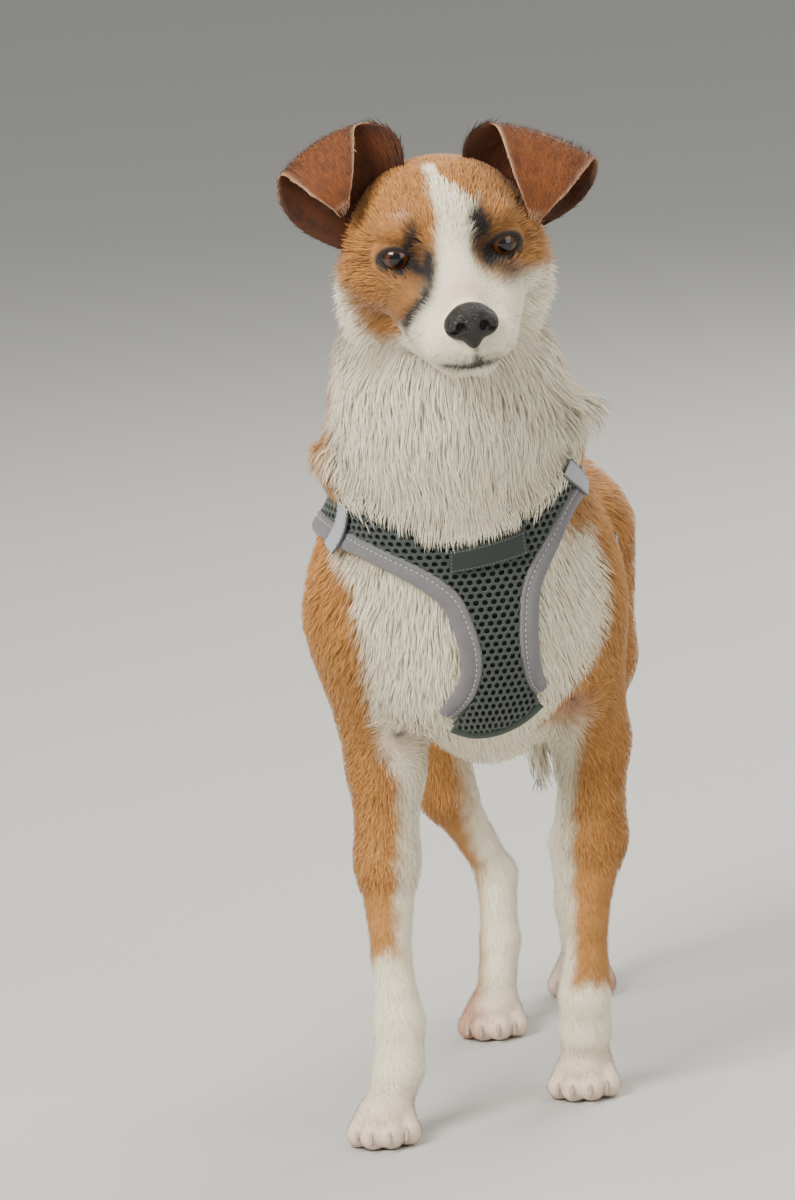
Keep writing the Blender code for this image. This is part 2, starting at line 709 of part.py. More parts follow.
def laid(grid, lift, coat):
    """A grid of points in mm brought down on the coat and lifted clear of its faces."""
    flat, _ = settle(scaled(grid).reshape(-1, 3), coat["forms"], lift * MM, rounds=6)
    for i, place in enumerate(flat):
        for _ in range(2):
            on, out, _, _ = coat["tree"].find_nearest(Vector(place))
            if (Vector(place) - on).dot(out) < lift * MM:
                place = np.array(on + out * lift * MM)
        flat[i] = place
    return (flat / MM).reshape(grid.shape)


def thickened(name, under, thick, coat):
    """The closed sheet of one thickness that stands on a laid grid."""
    out = slope(scaled(under).reshape(-1, 3), coat["forms"]).reshape(under.shape)
    return shellMesh(name, under, under + out * thick)


def patchGrid(low, high, start, end):
    """Fill the space between four edge curves."""
    rows, columns = len(start), len(low)
    v = np.linspace(0, 1, rows)[:, None, None]
    u = np.linspace(0, 1, columns)[None, :, None]
    corners = (1 - u) * (1 - v) * low[0] + u * (1 - v) * low[-1]
    corners = corners + (1 - u) * v * high[0] + u * v * high[-1]
    return ((1 - v) * low[None] + v * high[None] + (1 - u) * start[:, None] + u * end[:, None]
            - corners)


def layStrip(name, guides, width, lift, thick, count, coat, finish, across=3):
    """A flat strip that follows the body along its guides."""
    middle = laid(curveThrough(guides, count)[:, None], lift, coat)[:, 0]
    along = np.gradient(middle, axis=0)
    aside = np.cross(slope(scaled(middle), coat["forms"]), along)
    aside /= np.linalg.norm(aside, axis=1, keepdims=True)
    spread = np.linspace(-width / 2, width / 2, across)
    under = laid(middle[:, None] + aside[:, None] * spread[None, :, None], lift, coat)
    return addObject(name, thickened(name, under, thick, coat), finish)


def layBinding(name, edge, inside, width, coat, skip=0):
    """The strip sewn along a panel's edge, just outside it."""
    away = np.cross(slope(scaled(edge), coat["forms"]), np.gradient(edge, axis=0))
    away *= np.sign((away * (edge - inside)).sum())
    away /= np.linalg.norm(away, axis=1, keepdims=True)
    grid = np.stack([edge + away * (SEAM + width * k / 2) for k in range(3)], axis=1)
    under = laid(grid[skip:len(edge) - skip], PANEL_LIFT, coat)
    addObject(name, thickened(name, under, BINDING_THICK, coat), "binding")


def addVest(coat):
    rows, columns = 13, 14
    grid = patchGrid(curveThrough(HEM, columns), curveThrough(NECKLINE, columns),
                     curveThrough(ARMHOLE_RIGHT, rows), curveThrough(ARMHOLE_LEFT, rows))
    under = laid(grid, PANEL_LIFT, coat)
    addObject("vest_panel", thickened("vest_panel", under, PANEL_THICK, coat), "mesh")
    layBinding("binding_armhole_right", under[:, 0], under[:, 1], BINDING_WIDTH, coat)
    layBinding("binding_armhole_left", under[:, -1], under[:, -2], BINDING_WIDTH, coat)
    layBinding("binding_hem", under[0], under[1], 4.0, coat, skip=1)
    above = PANEL_LIFT + BINDING_THICK + GAP / MM
    for side in ("right", "left"):
        layStrip("tab_" + side, TABS[side], 11, above, 1.2, 6, coat, "webbing")
        layStrip("strap_shoulder_" + side, SHOULDER_STRAPS[side], STRAP_WIDTH, PANEL_LIFT,
                 STRAP_THICK, 9, coat, "webbing")
        layStrip("strap_girth_" + side, GIRTH_STRAPS[side], STRAP_WIDTH, PANEL_LIFT,
                 STRAP_THICK, 20, coat, "webbing")
    above = PANEL_LIFT + PANEL_THICK + SEAM
    low = curveThrough((LABEL["low"], LABEL["lowEnd"]), 6)
    high = curveThrough((LABEL["high"], LABEL["highEnd"]), 6)
    under = laid(np.stack([low, (low + high) / 2, high]), above, coat)
    addObject("label_patch", thickened("label_patch", under, 0.8, coat), "label")


def seat(place, along, coat):
    """Where a thing lies on the body: its place, and across, along and out as columns."""
    on, out = settle(scaled([place]), coat["forms"])
    out = Vector(out[0])
    along = Vector(along)
    along = (along - out * along.dot(out)).normalized()
    turn = Matrix((along.cross(out), along, out)).transposed()
    return Matrix.Translation(Vector(on[0])) @ turn.to_4x4()


def blockMesh(name, where, centre, size, bevel):
    """A block with rounded edges; centre and size in mm across, along and out of the seat."""
    shape = bmesh.new()
    bmesh.ops.create_cube(shape, size=1.0)
    bmesh.ops.scale(shape, verts=shape.verts, vec=Vector(size) * MM)
    bmesh.ops.bevel(shape, geom=shape.edges[:], offset=bevel * MM, segments=1, affect="EDGES")
    bmesh.ops.translate(shape, verts=shape.verts, vec=Vector(centre) * MM)
    bmesh.ops.transform(shape, matrix=where, verts=shape.verts)
    mesh = bpy.data.meshes.new(name)
    shape.to_mesh(mesh)
    shape.free()
    return mesh


def ringMesh(name, where, path, radius, sides=5):
    """A closed loop of round wire along a flat path in mm."""
    path = np.array(path, float)
    ahead = np.roll(path, -1, axis=0) - np.roll(path, 1, axis=0)
    ahead /= np.linalg.norm(ahead, axis=1, keepdims=True)
    aside = np.cross(ahead, (0, 0, 1))
    points = []
    for k in range(sides):
        turn = 2 * pi * k / sides
        points.append(path + radius * (cos(turn) * aside + sin(turn) * np.array((0, 0, 1))))
    points = np.stack(points, axis=1).reshape(-1, 3)
    places = [where @ (Vector(p) * MM) for p in points]
    faces = []
    for r in range(len(path)):
        for k in range(sides):
            after = (r + 1) % len(path)
            a, b = r * sides + k, r * sides + (k + 1) % sides
            faces.append((a, b, after * sides + (k + 1) % sides, after * sides + k))
    return meshFrom(name, places, faces)


RING = dict(wide=18.0, deep=13.0, wire=1.4)
BUCKLE = dict(socket=(20.0, 26.0, 7.0), latch=(15.0, 22.0, 5.4), lift=1.8)
SLIDER = dict(size=(27.0, 15.0, 2.2), slot=(21.0, 3.6), apart=7.0)


def addHardware(coat):
    """On the back: a side-release buckle between two yokes, each with a ring in a keeper."""
    strapTop = PANEL_LIFT + STRAP_THICK + 2 * GAP / MM
    where = seat((BACK[0], BACK[1], 392), (0, 1, 0), coat)
    joint = 3.0                   # the two halves meet a little to one side
    for name, way in (("buckle_socket", -1), ("buckle_latch", 1)):
        size = BUCKLE[name[7:]]
        centre = (joint + way * (size[0] / 2 + HALF / MM), 0, BUCKLE["lift"] + size[2] / 2)
        addObject(name, blockMesh(name, where, centre, size, 1.4), "plastic")
    for side, way in (("right", -1), ("left", 1)):
        x = BACK[0] + way * 29
        route = [(x, BACK[1] - 27, 390), (x, BACK[1], 390), (x, BACK[1] + 26, 386)]
        layStrip("yoke_" + side, route, 16, strapTop, 1.6, 9, coat, "webbing")
        on = seat((x, BACK[1], 390), (0, 1, 0), coat)
        lift = strapTop + 1.6 + 2 * GAP / MM + 1.2
        arc = [radians(a) for a in range(0, 181, 30)]
        path = [(RING["wide"] / 2 * cos(a), RING["deep"] * sin(a), lift + RING["wire"] + 0.6)
                for a in arc] + [(0, -1.0, lift + RING["wire"] + 0.6)]
        ring = ringMesh("ring_" + side, on, path, RING["wire"])
        addObject("ring_" + side, ring, "steel")
        keeper = addObject("keeper_" + side, blockMesh("keeper_" + side, on, (0, -0.5, lift + 2.2),
                                                       (10, 7.5, 5.4), 1.0), "webbing")
        boolean(keeper, grown("ring_" + side, ring), "DIFFERENCE")
        guide = GIRTH_STRAPS[side][-3]
        toward = np.array(GIRTH_STRAPS[side][-2]) - guide
        on = seat(guide, toward, coat)
        slider = addObject("slider_" + side, blockMesh("slider_" + side, on, (
            0, 0, strapTop + 0.5 + SLIDER["size"][2] / 2), SLIDER["size"], 0.7), "plastic")
        for end in (-1, 1):
            name = "slider_%s_slot_%d" % (side, end)
            slot = cutter(name, blockMesh(name, on, (0, end * SLIDER["apart"] / 2, strapTop + 1.5),
                                          (*SLIDER["slot"], 8.0), 0.5))
            boolean(slider, slot, "DIFFERENCE")


def buildAll():
    points, faces = meshField(bodyForms(), BODY_CELL)
    plain = np.ones(len(points))
    plain[points[:, 2] < PAW_TOP] = PAW_PLAIN
    headward = (points - scaled(NECK_CUT[0])) @ np.array(NECK_CUT[1], float) > -5 * MM
    plain[headward] = 0.0
    body = thinned("body", points, faces, BODY_KEEP, plain, PLAIN_KEEP)
    pieces = partBody(body)
    bodyRoom = grown("body", body)
    addEyes(pieces["head"])
    addNose(pieces["head"])
    addTail(bodyRoom)
    addClaws(bodyRoom)
    addEars(bodyRoom)
    shape = bmesh.new()
    shape.from_mesh(body)
    coat = dict(forms=trunkForms() + neckForms() + foreForms("right") + foreForms("left"),
                tree=BVHTree.FromBMesh(shape))
    shape.free()
    addVest(coat)
    addHardware(coat)
    standOnOrigin()


def standOnOrigin():
    """Centre the pieces' own box on the origin, with its foot on the floor."""
    bpy.context.view_layer.update()
    pieces = [o for o in bpy.data.objects if not o.hide_render]
    places = np.array([v.co for piece in pieces for v in evaluated(piece).vertices])
    low, high = places.min(axis=0), places.max(axis=0)
    for item in bpy.data.objects:
        item.location = (-(low[0] + high[0]) / 2, -(low[1] + high[1]) / 2, -low[2])


buildAll()
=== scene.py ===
import bpy
import bmesh
import numpy as np
from math import radians, sin, cos, pi
from mathutils import Vector, Matrix
from mathutils.kdtree import KDTree


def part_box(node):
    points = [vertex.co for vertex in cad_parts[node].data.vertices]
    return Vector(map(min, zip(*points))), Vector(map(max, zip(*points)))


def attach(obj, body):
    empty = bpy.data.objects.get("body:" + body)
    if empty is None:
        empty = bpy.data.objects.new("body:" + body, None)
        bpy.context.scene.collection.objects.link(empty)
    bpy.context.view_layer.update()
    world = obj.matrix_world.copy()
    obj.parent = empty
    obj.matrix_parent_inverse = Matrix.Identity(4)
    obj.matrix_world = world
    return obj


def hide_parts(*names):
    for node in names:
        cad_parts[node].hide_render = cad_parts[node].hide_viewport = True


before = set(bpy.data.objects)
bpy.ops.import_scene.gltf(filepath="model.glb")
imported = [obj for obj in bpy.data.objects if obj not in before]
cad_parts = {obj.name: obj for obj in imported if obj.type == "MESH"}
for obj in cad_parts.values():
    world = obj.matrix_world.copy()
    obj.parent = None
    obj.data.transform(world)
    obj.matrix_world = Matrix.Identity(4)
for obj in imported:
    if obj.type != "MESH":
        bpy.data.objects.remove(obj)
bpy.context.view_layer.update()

mm = 0.001
luck = np.random.default_rng(7)     # one seeded source of chance for the whole dog
bothSides = (("right", -1), ("left", 1))

# the head's own measures: side, forward and up, in mm from between the eyes
headPlace = dict(eyeMiddle=(30, -140, 504), yaw=13, pitch=10, roll=3)
eye = dict(apart=57, radius=10.0, forward=-7.0, gaze=(0.10, 1, 0.02), segments=(64, 48),
        corneaStart=0.8, corneaRise=0.045)


def headAxes():
    yaw, pitch, roll = [radians(headPlace[k]) for k in ("yaw", "pitch", "roll")]
    ahead = Vector((sin(yaw) * cos(pitch), -cos(yaw) * cos(pitch), -sin(pitch)))
    left = Vector((cos(yaw), sin(yaw), 0))
    up = left.cross(-ahead)
    tilted = left * cos(roll) + up * sin(roll)
    return np.array((tilted, ahead, up * cos(roll) - left * sin(roll))).T


head = headAxes()
eyeMiddle = np.array(headPlace["eyeMiddle"], float)


def onHead(side, forward, up):
    return eyeMiddle + head @ np.array((side, forward, up), float)


# The tables below count from the forefeet; the frame stands on its own box, so all of it
# moves over by where the right eye really is.
rightEye = onHead(-eye["apart"] / 2, eye["forward"], 0)
low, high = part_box("eye_right")
shift = (np.array(low) + np.array(high)) / 2 - rightEye * mm


def unit(vectors, tiny=0.0):
    return vectors / (np.linalg.norm(vectors, axis=-1, keepdims=True) + tiny)


def placed(points):
    return np.asarray(points, float) * mm + shift


# the camera: where it stands round the dog in degrees, and how far away in metres
view = dict(azimuth=7.5, rise=8.5, roll=4.5, away=4.0, lens=216, target=(-28.7, -20.6, 300))


def addCamera():
    turn, rise, roll = [radians(view[k]) for k in ("azimuth", "rise", "roll")]
    back = Vector((sin(turn) * cos(rise), -cos(turn) * cos(rise), sin(rise)))
    right = Vector((cos(turn), sin(turn), 0))
    up = back.cross(right)
    across = right * cos(roll) - up * sin(roll)
    upward = right * sin(roll) + up * cos(roll)
    data = bpy.data.cameras.new("camera")
    data.lens = view["lens"]
    camera = bpy.data.objects.new("camera", data)
    camera.matrix_world = (Matrix.Translation(Vector(placed(view["target"])) + back * view["away"])
            @ Matrix((across, upward, back)).transposed().to_4x4())
    bpy.context.collection.objects.link(camera)
    bpy.context.scene.camera = camera


addCamera()
print("camera set")

# the body's forms, as in the solids, each with its kind of coat
# depth: how far the skin lies under the tips; hair: its length; gap: between tufts;
# flare: how far the loosest tufts stand off; all mm
coats = {
    "muzzle": dict(depth=1.2, hair=4.2, gap=0.84, width=0.38, flare=0.6),
    "face": dict(depth=1.8, hair=6, gap=1.0, width=0.50, flare=0.6),
    "cheek": dict(depth=4.2, hair=16, gap=1.25, width=0.52, flare=6.5),
    "skull": dict(depth=2.6, hair=8, gap=1.2, width=0.55, flare=1.0),
    "neck": dict(depth=10, hair=26, gap=1.42, width=0.55, flare=5),
    "ruff": dict(depth=12, hair=32, gap=1.22, width=0.49, flare=7),
    "chest": dict(depth=6, hair=15, gap=1.42, width=0.47, flare=2.2),
    "back": dict(depth=6, hair=16, gap=2.0, width=0.64, flare=2.5),
    "belly": dict(depth=4, hair=12, gap=2.1, width=0.62, flare=2.5),
    "thigh": dict(depth=4, hair=11, gap=1.95, width=0.58, flare=1.2),
    "arm": dict(depth=2.6, hair=7.2, gap=1.45, width=0.43, flare=0.7),
    "leg": dict(depth=1.6, hair=5.6, gap=1.3, width=0.40, flare=0.4),
    "paw": dict(depth=1.2, hair=4.4, gap=1.05, width=0.38, flare=0.4),
    "tail": dict(depth=4.5, hair=18, gap=1.8, width=0.60, flare=3),
}
coatNames = list(coats)
hairKeys = ("depth", "hair", "gap", "width", "flare")
forelegs = {
    "right": dict(shoulder=(-50, -22, 290), elbow=(-46, 6, 202), forearm=(-48, -6, 150),
            narrow=(-48, -20, 98), wrist=(-46, -26, 62), pastern=(-47, -34, 38),
            paw=(-54, -47, 14.3)),
    "left": dict(shoulder=(64, 4, 290), elbow=(66, 50, 204), forearm=(64.5, 42, 148),
            narrow=(58, 36, 102), wrist=(53, 36, 60), pastern=(51, 40, 38),
            paw=(49, 50, 14.3)),
}
hindlegs = {
    "right": dict(hip=(-32, 258, 292), knee=(-44, 206, 214), shank=(-41, 226, 146),
            narrow=(-27, 246, 112), hock=(-18.5, 256, 90), mid=(-18, 244, 52),
            paw=(-22, 226, 14)),
    "left": dict(hip=(37, 272, 290), knee=(46, 286, 214), shank=(30, 330, 142),
            narrow=(21, 354, 110), hock=(14, 366, 86), mid=(16, 352, 50),
            paw=(21, 334, 14)),
}
toes = ((-13.5, 17), (-5, 25), (5, 25), (13.5, 17))
regions = ["head", "neck", "trunk", "fore_right", "fore_left", "hind_right", "hind_left", "tail"]
region = ["trunk"]            # the one that new forms belong to


def egg(centre, radii, blend, coat="face", lie=(0, 1, -0.3), turn=None, carve=False):
    centre = np.array(centre, float)
    radii = np.array(radii, float)
    turn = np.eye(3) if turn is None else turn

    def distance(points):
        local = (points - centre) @ turn
        scaled = np.sqrt(((local / radii) ** 2).sum(-1)) + 1e-9
        steep = np.sqrt(((local / radii ** 2) ** 2).sum(-1)) + 1e-9
        return scaled * (scaled - 1) / steep

    reach = np.abs(turn) @ radii
    return dict(distance=distance, low=centre - reach, high=centre + reach, blend=blend,
            coat=coat, lie=np.array(lie, float), carve=carve, region=regions.index(region[0]))


def limb(start, end, startRadius, endRadius, blend, coat="face", lie=(0, 0.1, -1), flat=1.0,
        carve=False):
    start = np.array(start, float)
    end = np.array(end, float)
    squeeze = np.array((1.0, 1.0 / flat, 1.0))
    origin = start * squeeze
    along = (end - start) * squeeze
    length2 = (along ** 2).sum()

    def distance(points):
        local = points * squeeze - origin
        t = np.clip((local @ along) / length2, 0, 1)
        away = np.sqrt(((local - t[..., None] * along) ** 2).sum(-1))
        return away - (startRadius + t * (endRadius - startRadius))

    fat = max(startRadius, endRadius) * max(flat, 1.0)
    return dict(distance=distance, low=np.minimum(start, end) - fat,
            high=np.maximum(start, end) + fat, blend=blend, coat=coat,
            lie=np.array(lie, float), carve=carve, region=regions.index(region[0]))


def headLie(side, forward, up):
    return head @ np.array((side, forward, up), float)


def headForms():
    region[0] = "head"
    back = headLie(0, -1, 0.35)
    forms = [
        egg(onHead(0, -45, 7), (45, 50, 33), 16, "skull", headLie(0, -1, 0.1), head),
        egg(onHead(0, -22, 11), (33, 26, 20), 12, "skull", back, head),
        limb(onHead(0, -6, -6), onHead(0, 49, -21), 19, 12.5, 12, "muzzle", back),
        limb(onHead(0, -10, -28), onHead(0, 52, -38), 24, 13, 10, "muzzle", headLie(0, -1, -0.1)),
    ]
    for side in (-1, 1):
        wide = headLie(side * 0.35, -1, -0.25)
        forms += [
            egg(onHead(side * 22, -7, 14), (15, 13, 9), 9, "face", headLie(side * 0.5, -1, 0.5),
                head),
            egg(onHead(side * 34, -32, -12), (21, 32, 24), 16, "cheek",
                headLie(side * 0.55, -1, -0.35), head),
            limb(onHead(side * 27, -8, -17), onHead(side * 16, 30, -25), 15, 14, 12, "face", wide),
            egg(onHead(side * 36, -50, -34), (22, 28, 28), 14, "cheek",
                headLie(side * 0.6, -0.7, -0.8), head),
            limb(onHead(side * 18, 6, -29), onHead(side * 13, 48, -34), 16, 14, 8, "muzzle", wide),
            limb(onHead(side * 20, -24, -44), onHead(side * 7, 40, -49), 14, 9.5, 8, "face",
                 headLie(0, -1, -0.4)),
        ]
    for side in (-1, 1):
        forms.append(egg(onHead(side * 30, 6, 0), (12.5, 8, 8.5), 4, turn=head, carve=True))
    return forms


def trunkForms():
    region[0] = "trunk"
    return [
        egg((9, 48, 292), (72, 112, 90), 24, "back", (0, 1, -0.45)),
        egg((10, -14, 286), (66, 56, 66), 22, "chest", (0, 0.3, -1)),
        egg((8, 34, 352), (44, 52, 36), 20, "back", (0, 1, -0.1)),
        limb((7, 130, 302), (4, 226, 310), 64, 50, 30, "back", (0, 1, -0.4)),
        egg((2, 262, 308), (54, 46, 50), 24, "back", (0, 1, -0.7)),
        egg((3, 286, 322), (24, 26, 24), 16, "back", (0, 0.6, -1)),
        egg((10, 60, 222), (26, 60, 28), 18, "belly", (0, 1, -0.1)),
    ]


def neckForms():
    region[0] = "neck"
    return [
        limb((13, -72, 470), (12, -50, 416), 50, 60, 20, "neck", (0, 0.1, -1)),
        limb((12, -50, 416), (9, -10, 330), 60, 70, 24, "neck", (0, 0.1, -1)),
        egg((14, -74, 424), (52, 42, 44), 16, "ruff", (0, -0.1, -1)),
        egg((-42, -48, 390), (24, 32, 16), 12, "ruff", (-0.45, 0, -1)),
        egg((70, -50, 406), (24, 32, 16), 12, "ruff", (0.45, 0, -1)),
    ]


def foreForms(side):
    region[0] = "fore_" + side
    j = forelegs[side]
    out = -1 if side == "right" else 1
    forms = [
        egg(np.array(j["shoulder"]) + (0, 8, 10), (28, 46, 52), 20, "chest", (out * 0.5, 0.4, -1)),
        limb(j["shoulder"], j["elbow"], 30, 21, 16, "arm", (out * 0.6, 0.3, -1)),
        limb(j["elbow"], j["forearm"], 20, 18, 12, "arm", (out * 0.2, 0.2, -1), 1.15),
        limb(j["forearm"], j["narrow"], 17.6, 11.6, 8, "leg", (out * 0.1, 0.1, -1), 1.12),
        limb(j["narrow"], j["wrist"], 11.6, 15.4, 5, "leg"),
        limb(j["wrist"], j["pastern"], 15.2, 15.0, 5, "leg"),
        limb(j["pastern"], j["paw"], 14.0, 13.5, 6, "paw", (0, -0.5, -1)),
        egg(np.array(j["wrist"]) + (0, 12, -12), (6, 6, 8), 4, "leg", (0, 0, -1)),
    ]
    return forms + pawForms(j["paw"])


def hindForms(side):
    region[0] = "hind_" + side
    j = hindlegs[side]
    out = -1 if side == "right" else 1
    forms = [
        limb(j["hip"], j["knee"], 42, 25, 18, "thigh", (out * 0.1, 0.5, -1), 1.1),
        egg(np.array(j["hip"]) + (0, 18, -18), (28, 30, 44), 16, "thigh", (0, 0.5, -1)),
        limb(j["knee"], j["shank"], 24, 16.5, 12, "arm", (0, 0.4, -1), 1.15),
        limb(j["shank"], j["narrow"], 16.5, 12, 8, "leg", (0, 0.3, -1), 1.1),
        limb(j["narrow"], j["hock"], 11.5, 13, 5, "leg", (0, 0.2, -1)),
        limb(j["hock"], j["mid"], 12.8, 12, 5, "leg", (0, 0, -1)),
        limb(j["mid"], j["paw"], 12.2, 12.5, 6, "paw", (0, -0.4, -1)),
    ]
    return forms + pawForms(j["paw"])


def pawForms(paw):
    paw = np.array(paw, float)
    ahead = (0, -1, -0.5)
    forms = [egg(paw + (0, -6, 1), (17, 20, 15), 5, "paw", ahead),
            egg(paw + (0, 4, -6), (12, 11, 9.4), 4, "paw", ahead)]
    for aside, forward in toes:
        forms.append(limb(paw + (aside * 0.8, -10, -1), paw + (aside, -forward, -6.6),
                    8.2, 8.6, 2.2, "paw", ahead))
    return forms


def tailForms():
    region[0] = "tail"
    spine = [(3, 300, 326), (3, 330, 312), (2, 346, 276), (1, 350, 226), (1, 348, 176),
            (2, 344, 136)]
    fat = (16, 15, 14, 13, 11.5, 7)
    return [limb(a, b, p, q, 5, "tail", np.array(b, float) - a)
            for a, b, p, q in zip(spine, spine[1:], fat, fat[1:])]


lipLine = ((-31, 22, -49), (-25, 44, -47), (-14, 55, -49), (2, 60, -48), (17, 54, -51),
        (26, 42, -51), (30, 20, -51))
philtrum = ((1.5, 66, -33), (2, 65, -42), (2, 61, -48))


def onFace(path):
    # a path of the head brought onto its surface
    return settle(np.array([onHead(*p) for p in path]), outerForms, 0.0, 0)[0]


def creaseForms():
    region[0] = "head"
    forms = []
    for path, radius in ((lipLine, 2.8), (philtrum, 1.3)):
        on = onFace(path)
        forms += [limb(a, b, radius, radius, 1.6, carve=True) for a, b in zip(on, on[1:])]
    return forms


farAway = 60.0            # distance given to points that no form reaches
reachPad = 12.0           # how far past its box a form still counts


def merge(field, value, form):
    # joins a form to the rest, or carves it out, with a soft blend between them
    k = form["blend"]
    sign = -1 if form["carve"] else 1
    field = field * sign
    h = np.clip(k - np.abs(field - value), 0, None) / k
    return (np.minimum(field, value) - h * h * k * 0.25) * sign


def within(form, points):
    pad = form["blend"] + reachPad
    inside = (points > form["low"] - pad) & (points < form["high"] + pad)
    return np.flatnonzero(inside.all(axis=1))


def formValue(form, points, inset):
    value = form["distance"](points)
    return value if form["carve"] else value + inset * coats[form["coat"]]["depth"]


# distance to the surface in mm; inset 0 is the tips of the coat and 1 is the skin
def fieldAt(points, forms, inset):
    field = np.full(len(points), farAway)
    for form in forms:
        near = within(form, points)
        if len(near):
            field[near] = merge(field[near], formValue(form, points[near], inset), form)
    return field


def slope(points, forms, inset, step=0.4):
    grad = np.stack([fieldAt(points + step * e, forms, inset)
                - fieldAt(points - step * e, forms, inset) for e in np.eye(3)], axis=1)
    return unit(grad, 1e-12)


def settle(points, forms, lift, inset, rounds=4):
    for _ in range(rounds):
        away = slope(points, forms, inset)
        points = points - away * (fieldAt(points, forms, inset) - lift)[:, None]
    return points, slope(points, forms, inset)


# what coat grows at each point: a share of each kind, the lie, and the nearest region
def coatAt(points, forms):
    field = np.full(len(points), farAway)
    nearest = np.full(len(points), farAway)
    kinds = np.zeros((len(points), len(coats)))
    lies = np.zeros((len(points), 3))
    where = np.zeros(len(points), int)
    for form in forms:
        near = within(form, points)
        if form["carve"] or not len(near):
            continue
        value = formValue(form, points[near], 1)
        share = np.clip(0.5 + 0.5 * (field[near] - value) / form["blend"], 0, 1)[:, None]
        lies[near] = lies[near] * (1 - share) + unit(form["lie"]) * share
        kinds[near] *= 1 - share
        kinds[near, coatNames.index(form["coat"])] += share[:, 0]
        closer = value < nearest[near]
        where[near[closer]] = form["region"]
        nearest[near] = np.minimum(nearest[near], value)
        field[near] = merge(field[near], value, form)
    return kinds, lies, where


outerForms = trunkForms() + neckForms()
for name in ("right", "left"):
    outerForms += foreForms(name) + hindForms(name)
outerForms += headForms() + tailForms()
skinForms = outerForms + creaseForms()
lipOn, philtrumOn = ((onFace(path) - eyeMiddle) @ head for path in (lipLine, philtrum))
print("forms ready:", len(skinForms))


def netSurface(forms, axes, inset):
    # one point for each cell that the surface crosses, and a face round each crossed edge
    field = np.full([len(a) for a in axes], farAway)
    for form in forms:
        pad = form["blend"] + reachPad
        cut = tuple(slice(*np.searchsorted(a, (lo - pad, hi + pad)))
                for a, lo, hi in zip(axes, form["low"], form["high"]))
        grid = np.stack(np.meshgrid(*[a[c] for a, c in zip(axes, cut)], indexing="ij"), -1)
        if grid.size:
            field[cut] = merge(field[cut], formValue(form, grid, inset), form)
    inside = field < 0
    corners = [np.array(c) for c in np.ndindex(2, 2, 2)]
    count = sum(inside[tuple(slice(c, n - 1 + c) for c, n in zip(corner, inside.shape))]
            .astype(int) for corner in corners)
    cells = np.argwhere((count > 0) & (count < 8))
    total = np.zeros((len(cells), 3))
    hits = np.zeros(len(cells))
    for axis in range(3):
        for corner in corners:
            if corner[axis]:
                continue
            far = corner + np.eye(3, dtype=int)[axis]
            v0 = field[tuple((cells + corner).T)]
            v1 = field[tuple((cells + far).T)]
            cross = (v0 < 0) != (v1 < 0)
            offset = np.tile(corner.astype(float), (len(cells), 1))
            offset[:, axis] = v0 / np.where(v0 == v1, 1, v0 - v1)
            total += offset * cross[:, None]
            hits += cross
    part = total / hits[:, None]
    points = np.stack([axes[i][cells[:, i]] + part[:, i] * np.diff(axes[i])[cells[:, i]]
                for i in range(3)], axis=1)
    index = np.full(count.shape, -1)
    index[tuple(cells.T)] = np.arange(len(cells))
    faces = []
    back = np.eye(3, dtype=int)
    for axis, (u, v) in enumerate(((1, 2), (2, 0), (0, 1))):
        first, last = [slice(None)] * 3, [slice(None)] * 3
        first[axis], last[axis] = slice(0, -1), slice(1, None)
        change = inside[tuple(first)] != inside[tuple(last)]
        at = np.argwhere(change)
        at = at[(at[:, u] > 0) & (at[:, v] > 0)]
        outward = inside[tuple(first)][tuple(at.T)]
        ring = [at, at - back[u], at - back[u] - back[v], at - back[v]]
        quad = np.stack([index[tuple(r.T)] for r in ring], 1)
        quad[~outward] = quad[~outward][:, ::-1]
        faces.append(quad)
    points, normals = settle(points, forms, 0, inset, rounds=2)
    return points, np.concatenate(faces), normals


def meshOf(name, points, faces):
    # faces all have the same number of corners; points are in metres
    faces = np.asarray(faces)
    mesh = bpy.data.meshes.new(name)
    mesh.vertices.add(len(points))
    mesh.vertices.foreach_set("co", np.asarray(points, np.float32).ravel())
    mesh.loops.add(faces.size)
    mesh.loops.foreach_set("vertex_index", faces.ravel().astype(np.int32))
    mesh.polygons.add(len(faces))
    starts = np.arange(0, faces.size, faces.shape[1], dtype=np.int32)
    mesh.polygons.foreach_set("loop_start", starts)
    mesh.update(calc_edges=True)
    mesh.shade_smooth()
    return mesh


def paint(mesh, name, colours):
    layer = mesh.attributes.new(name, "FLOAT_COLOR", "POINT")
    layer.data.foreach_set("color", np.asarray(colours, np.float32).ravel())


def addPiece(name, mesh, replaced=()):
    piece = bpy.data.objects.new(name, mesh)
    bpy.context.collection.objects.link(piece)
    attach(piece, "root")
    if replaced:
        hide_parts(*replaced)
    return piece


# the markings: shares of white, dark, pink and red, from simple lines on each part
def ramp(value, soft):
    t = np.clip(value / soft * 0.5 + 0.5, 0, 1)
    return t * t * (3 - 2 * t)


def wobble(points, size, seed=0.0):
    x, y, z = (points / size).T
    return (np.sin(x * 1.7 + y * 2.3 + 1.1 + seed) * np.sin(z * 2.1 - x + seed)
            + 0.5 * np.sin(z * 5.3 + y * 3.1 + seed) * np.sin(x * 4.7 + 0.4))


def nearPath(points, path):
    best = np.full(len(points), 1e3)
    path = np.array(path, float)
    for a, b in zip(path, path[1:]):
        t = np.clip((points - a) @ (b - a) / ((b - a) ** 2).sum(), 0, 1)
        best = np.minimum(best, np.linalg.norm(points - a - t[:, None] * (b - a), axis=1))
    return best


def spot(points, centre, radii):
    return np.exp(-(((points - np.array(centre)) / radii) ** 2).sum(1))


def spotsOf(points, table):
    return sum(strength * spot(points, at, reach) for strength, at, reach in table)


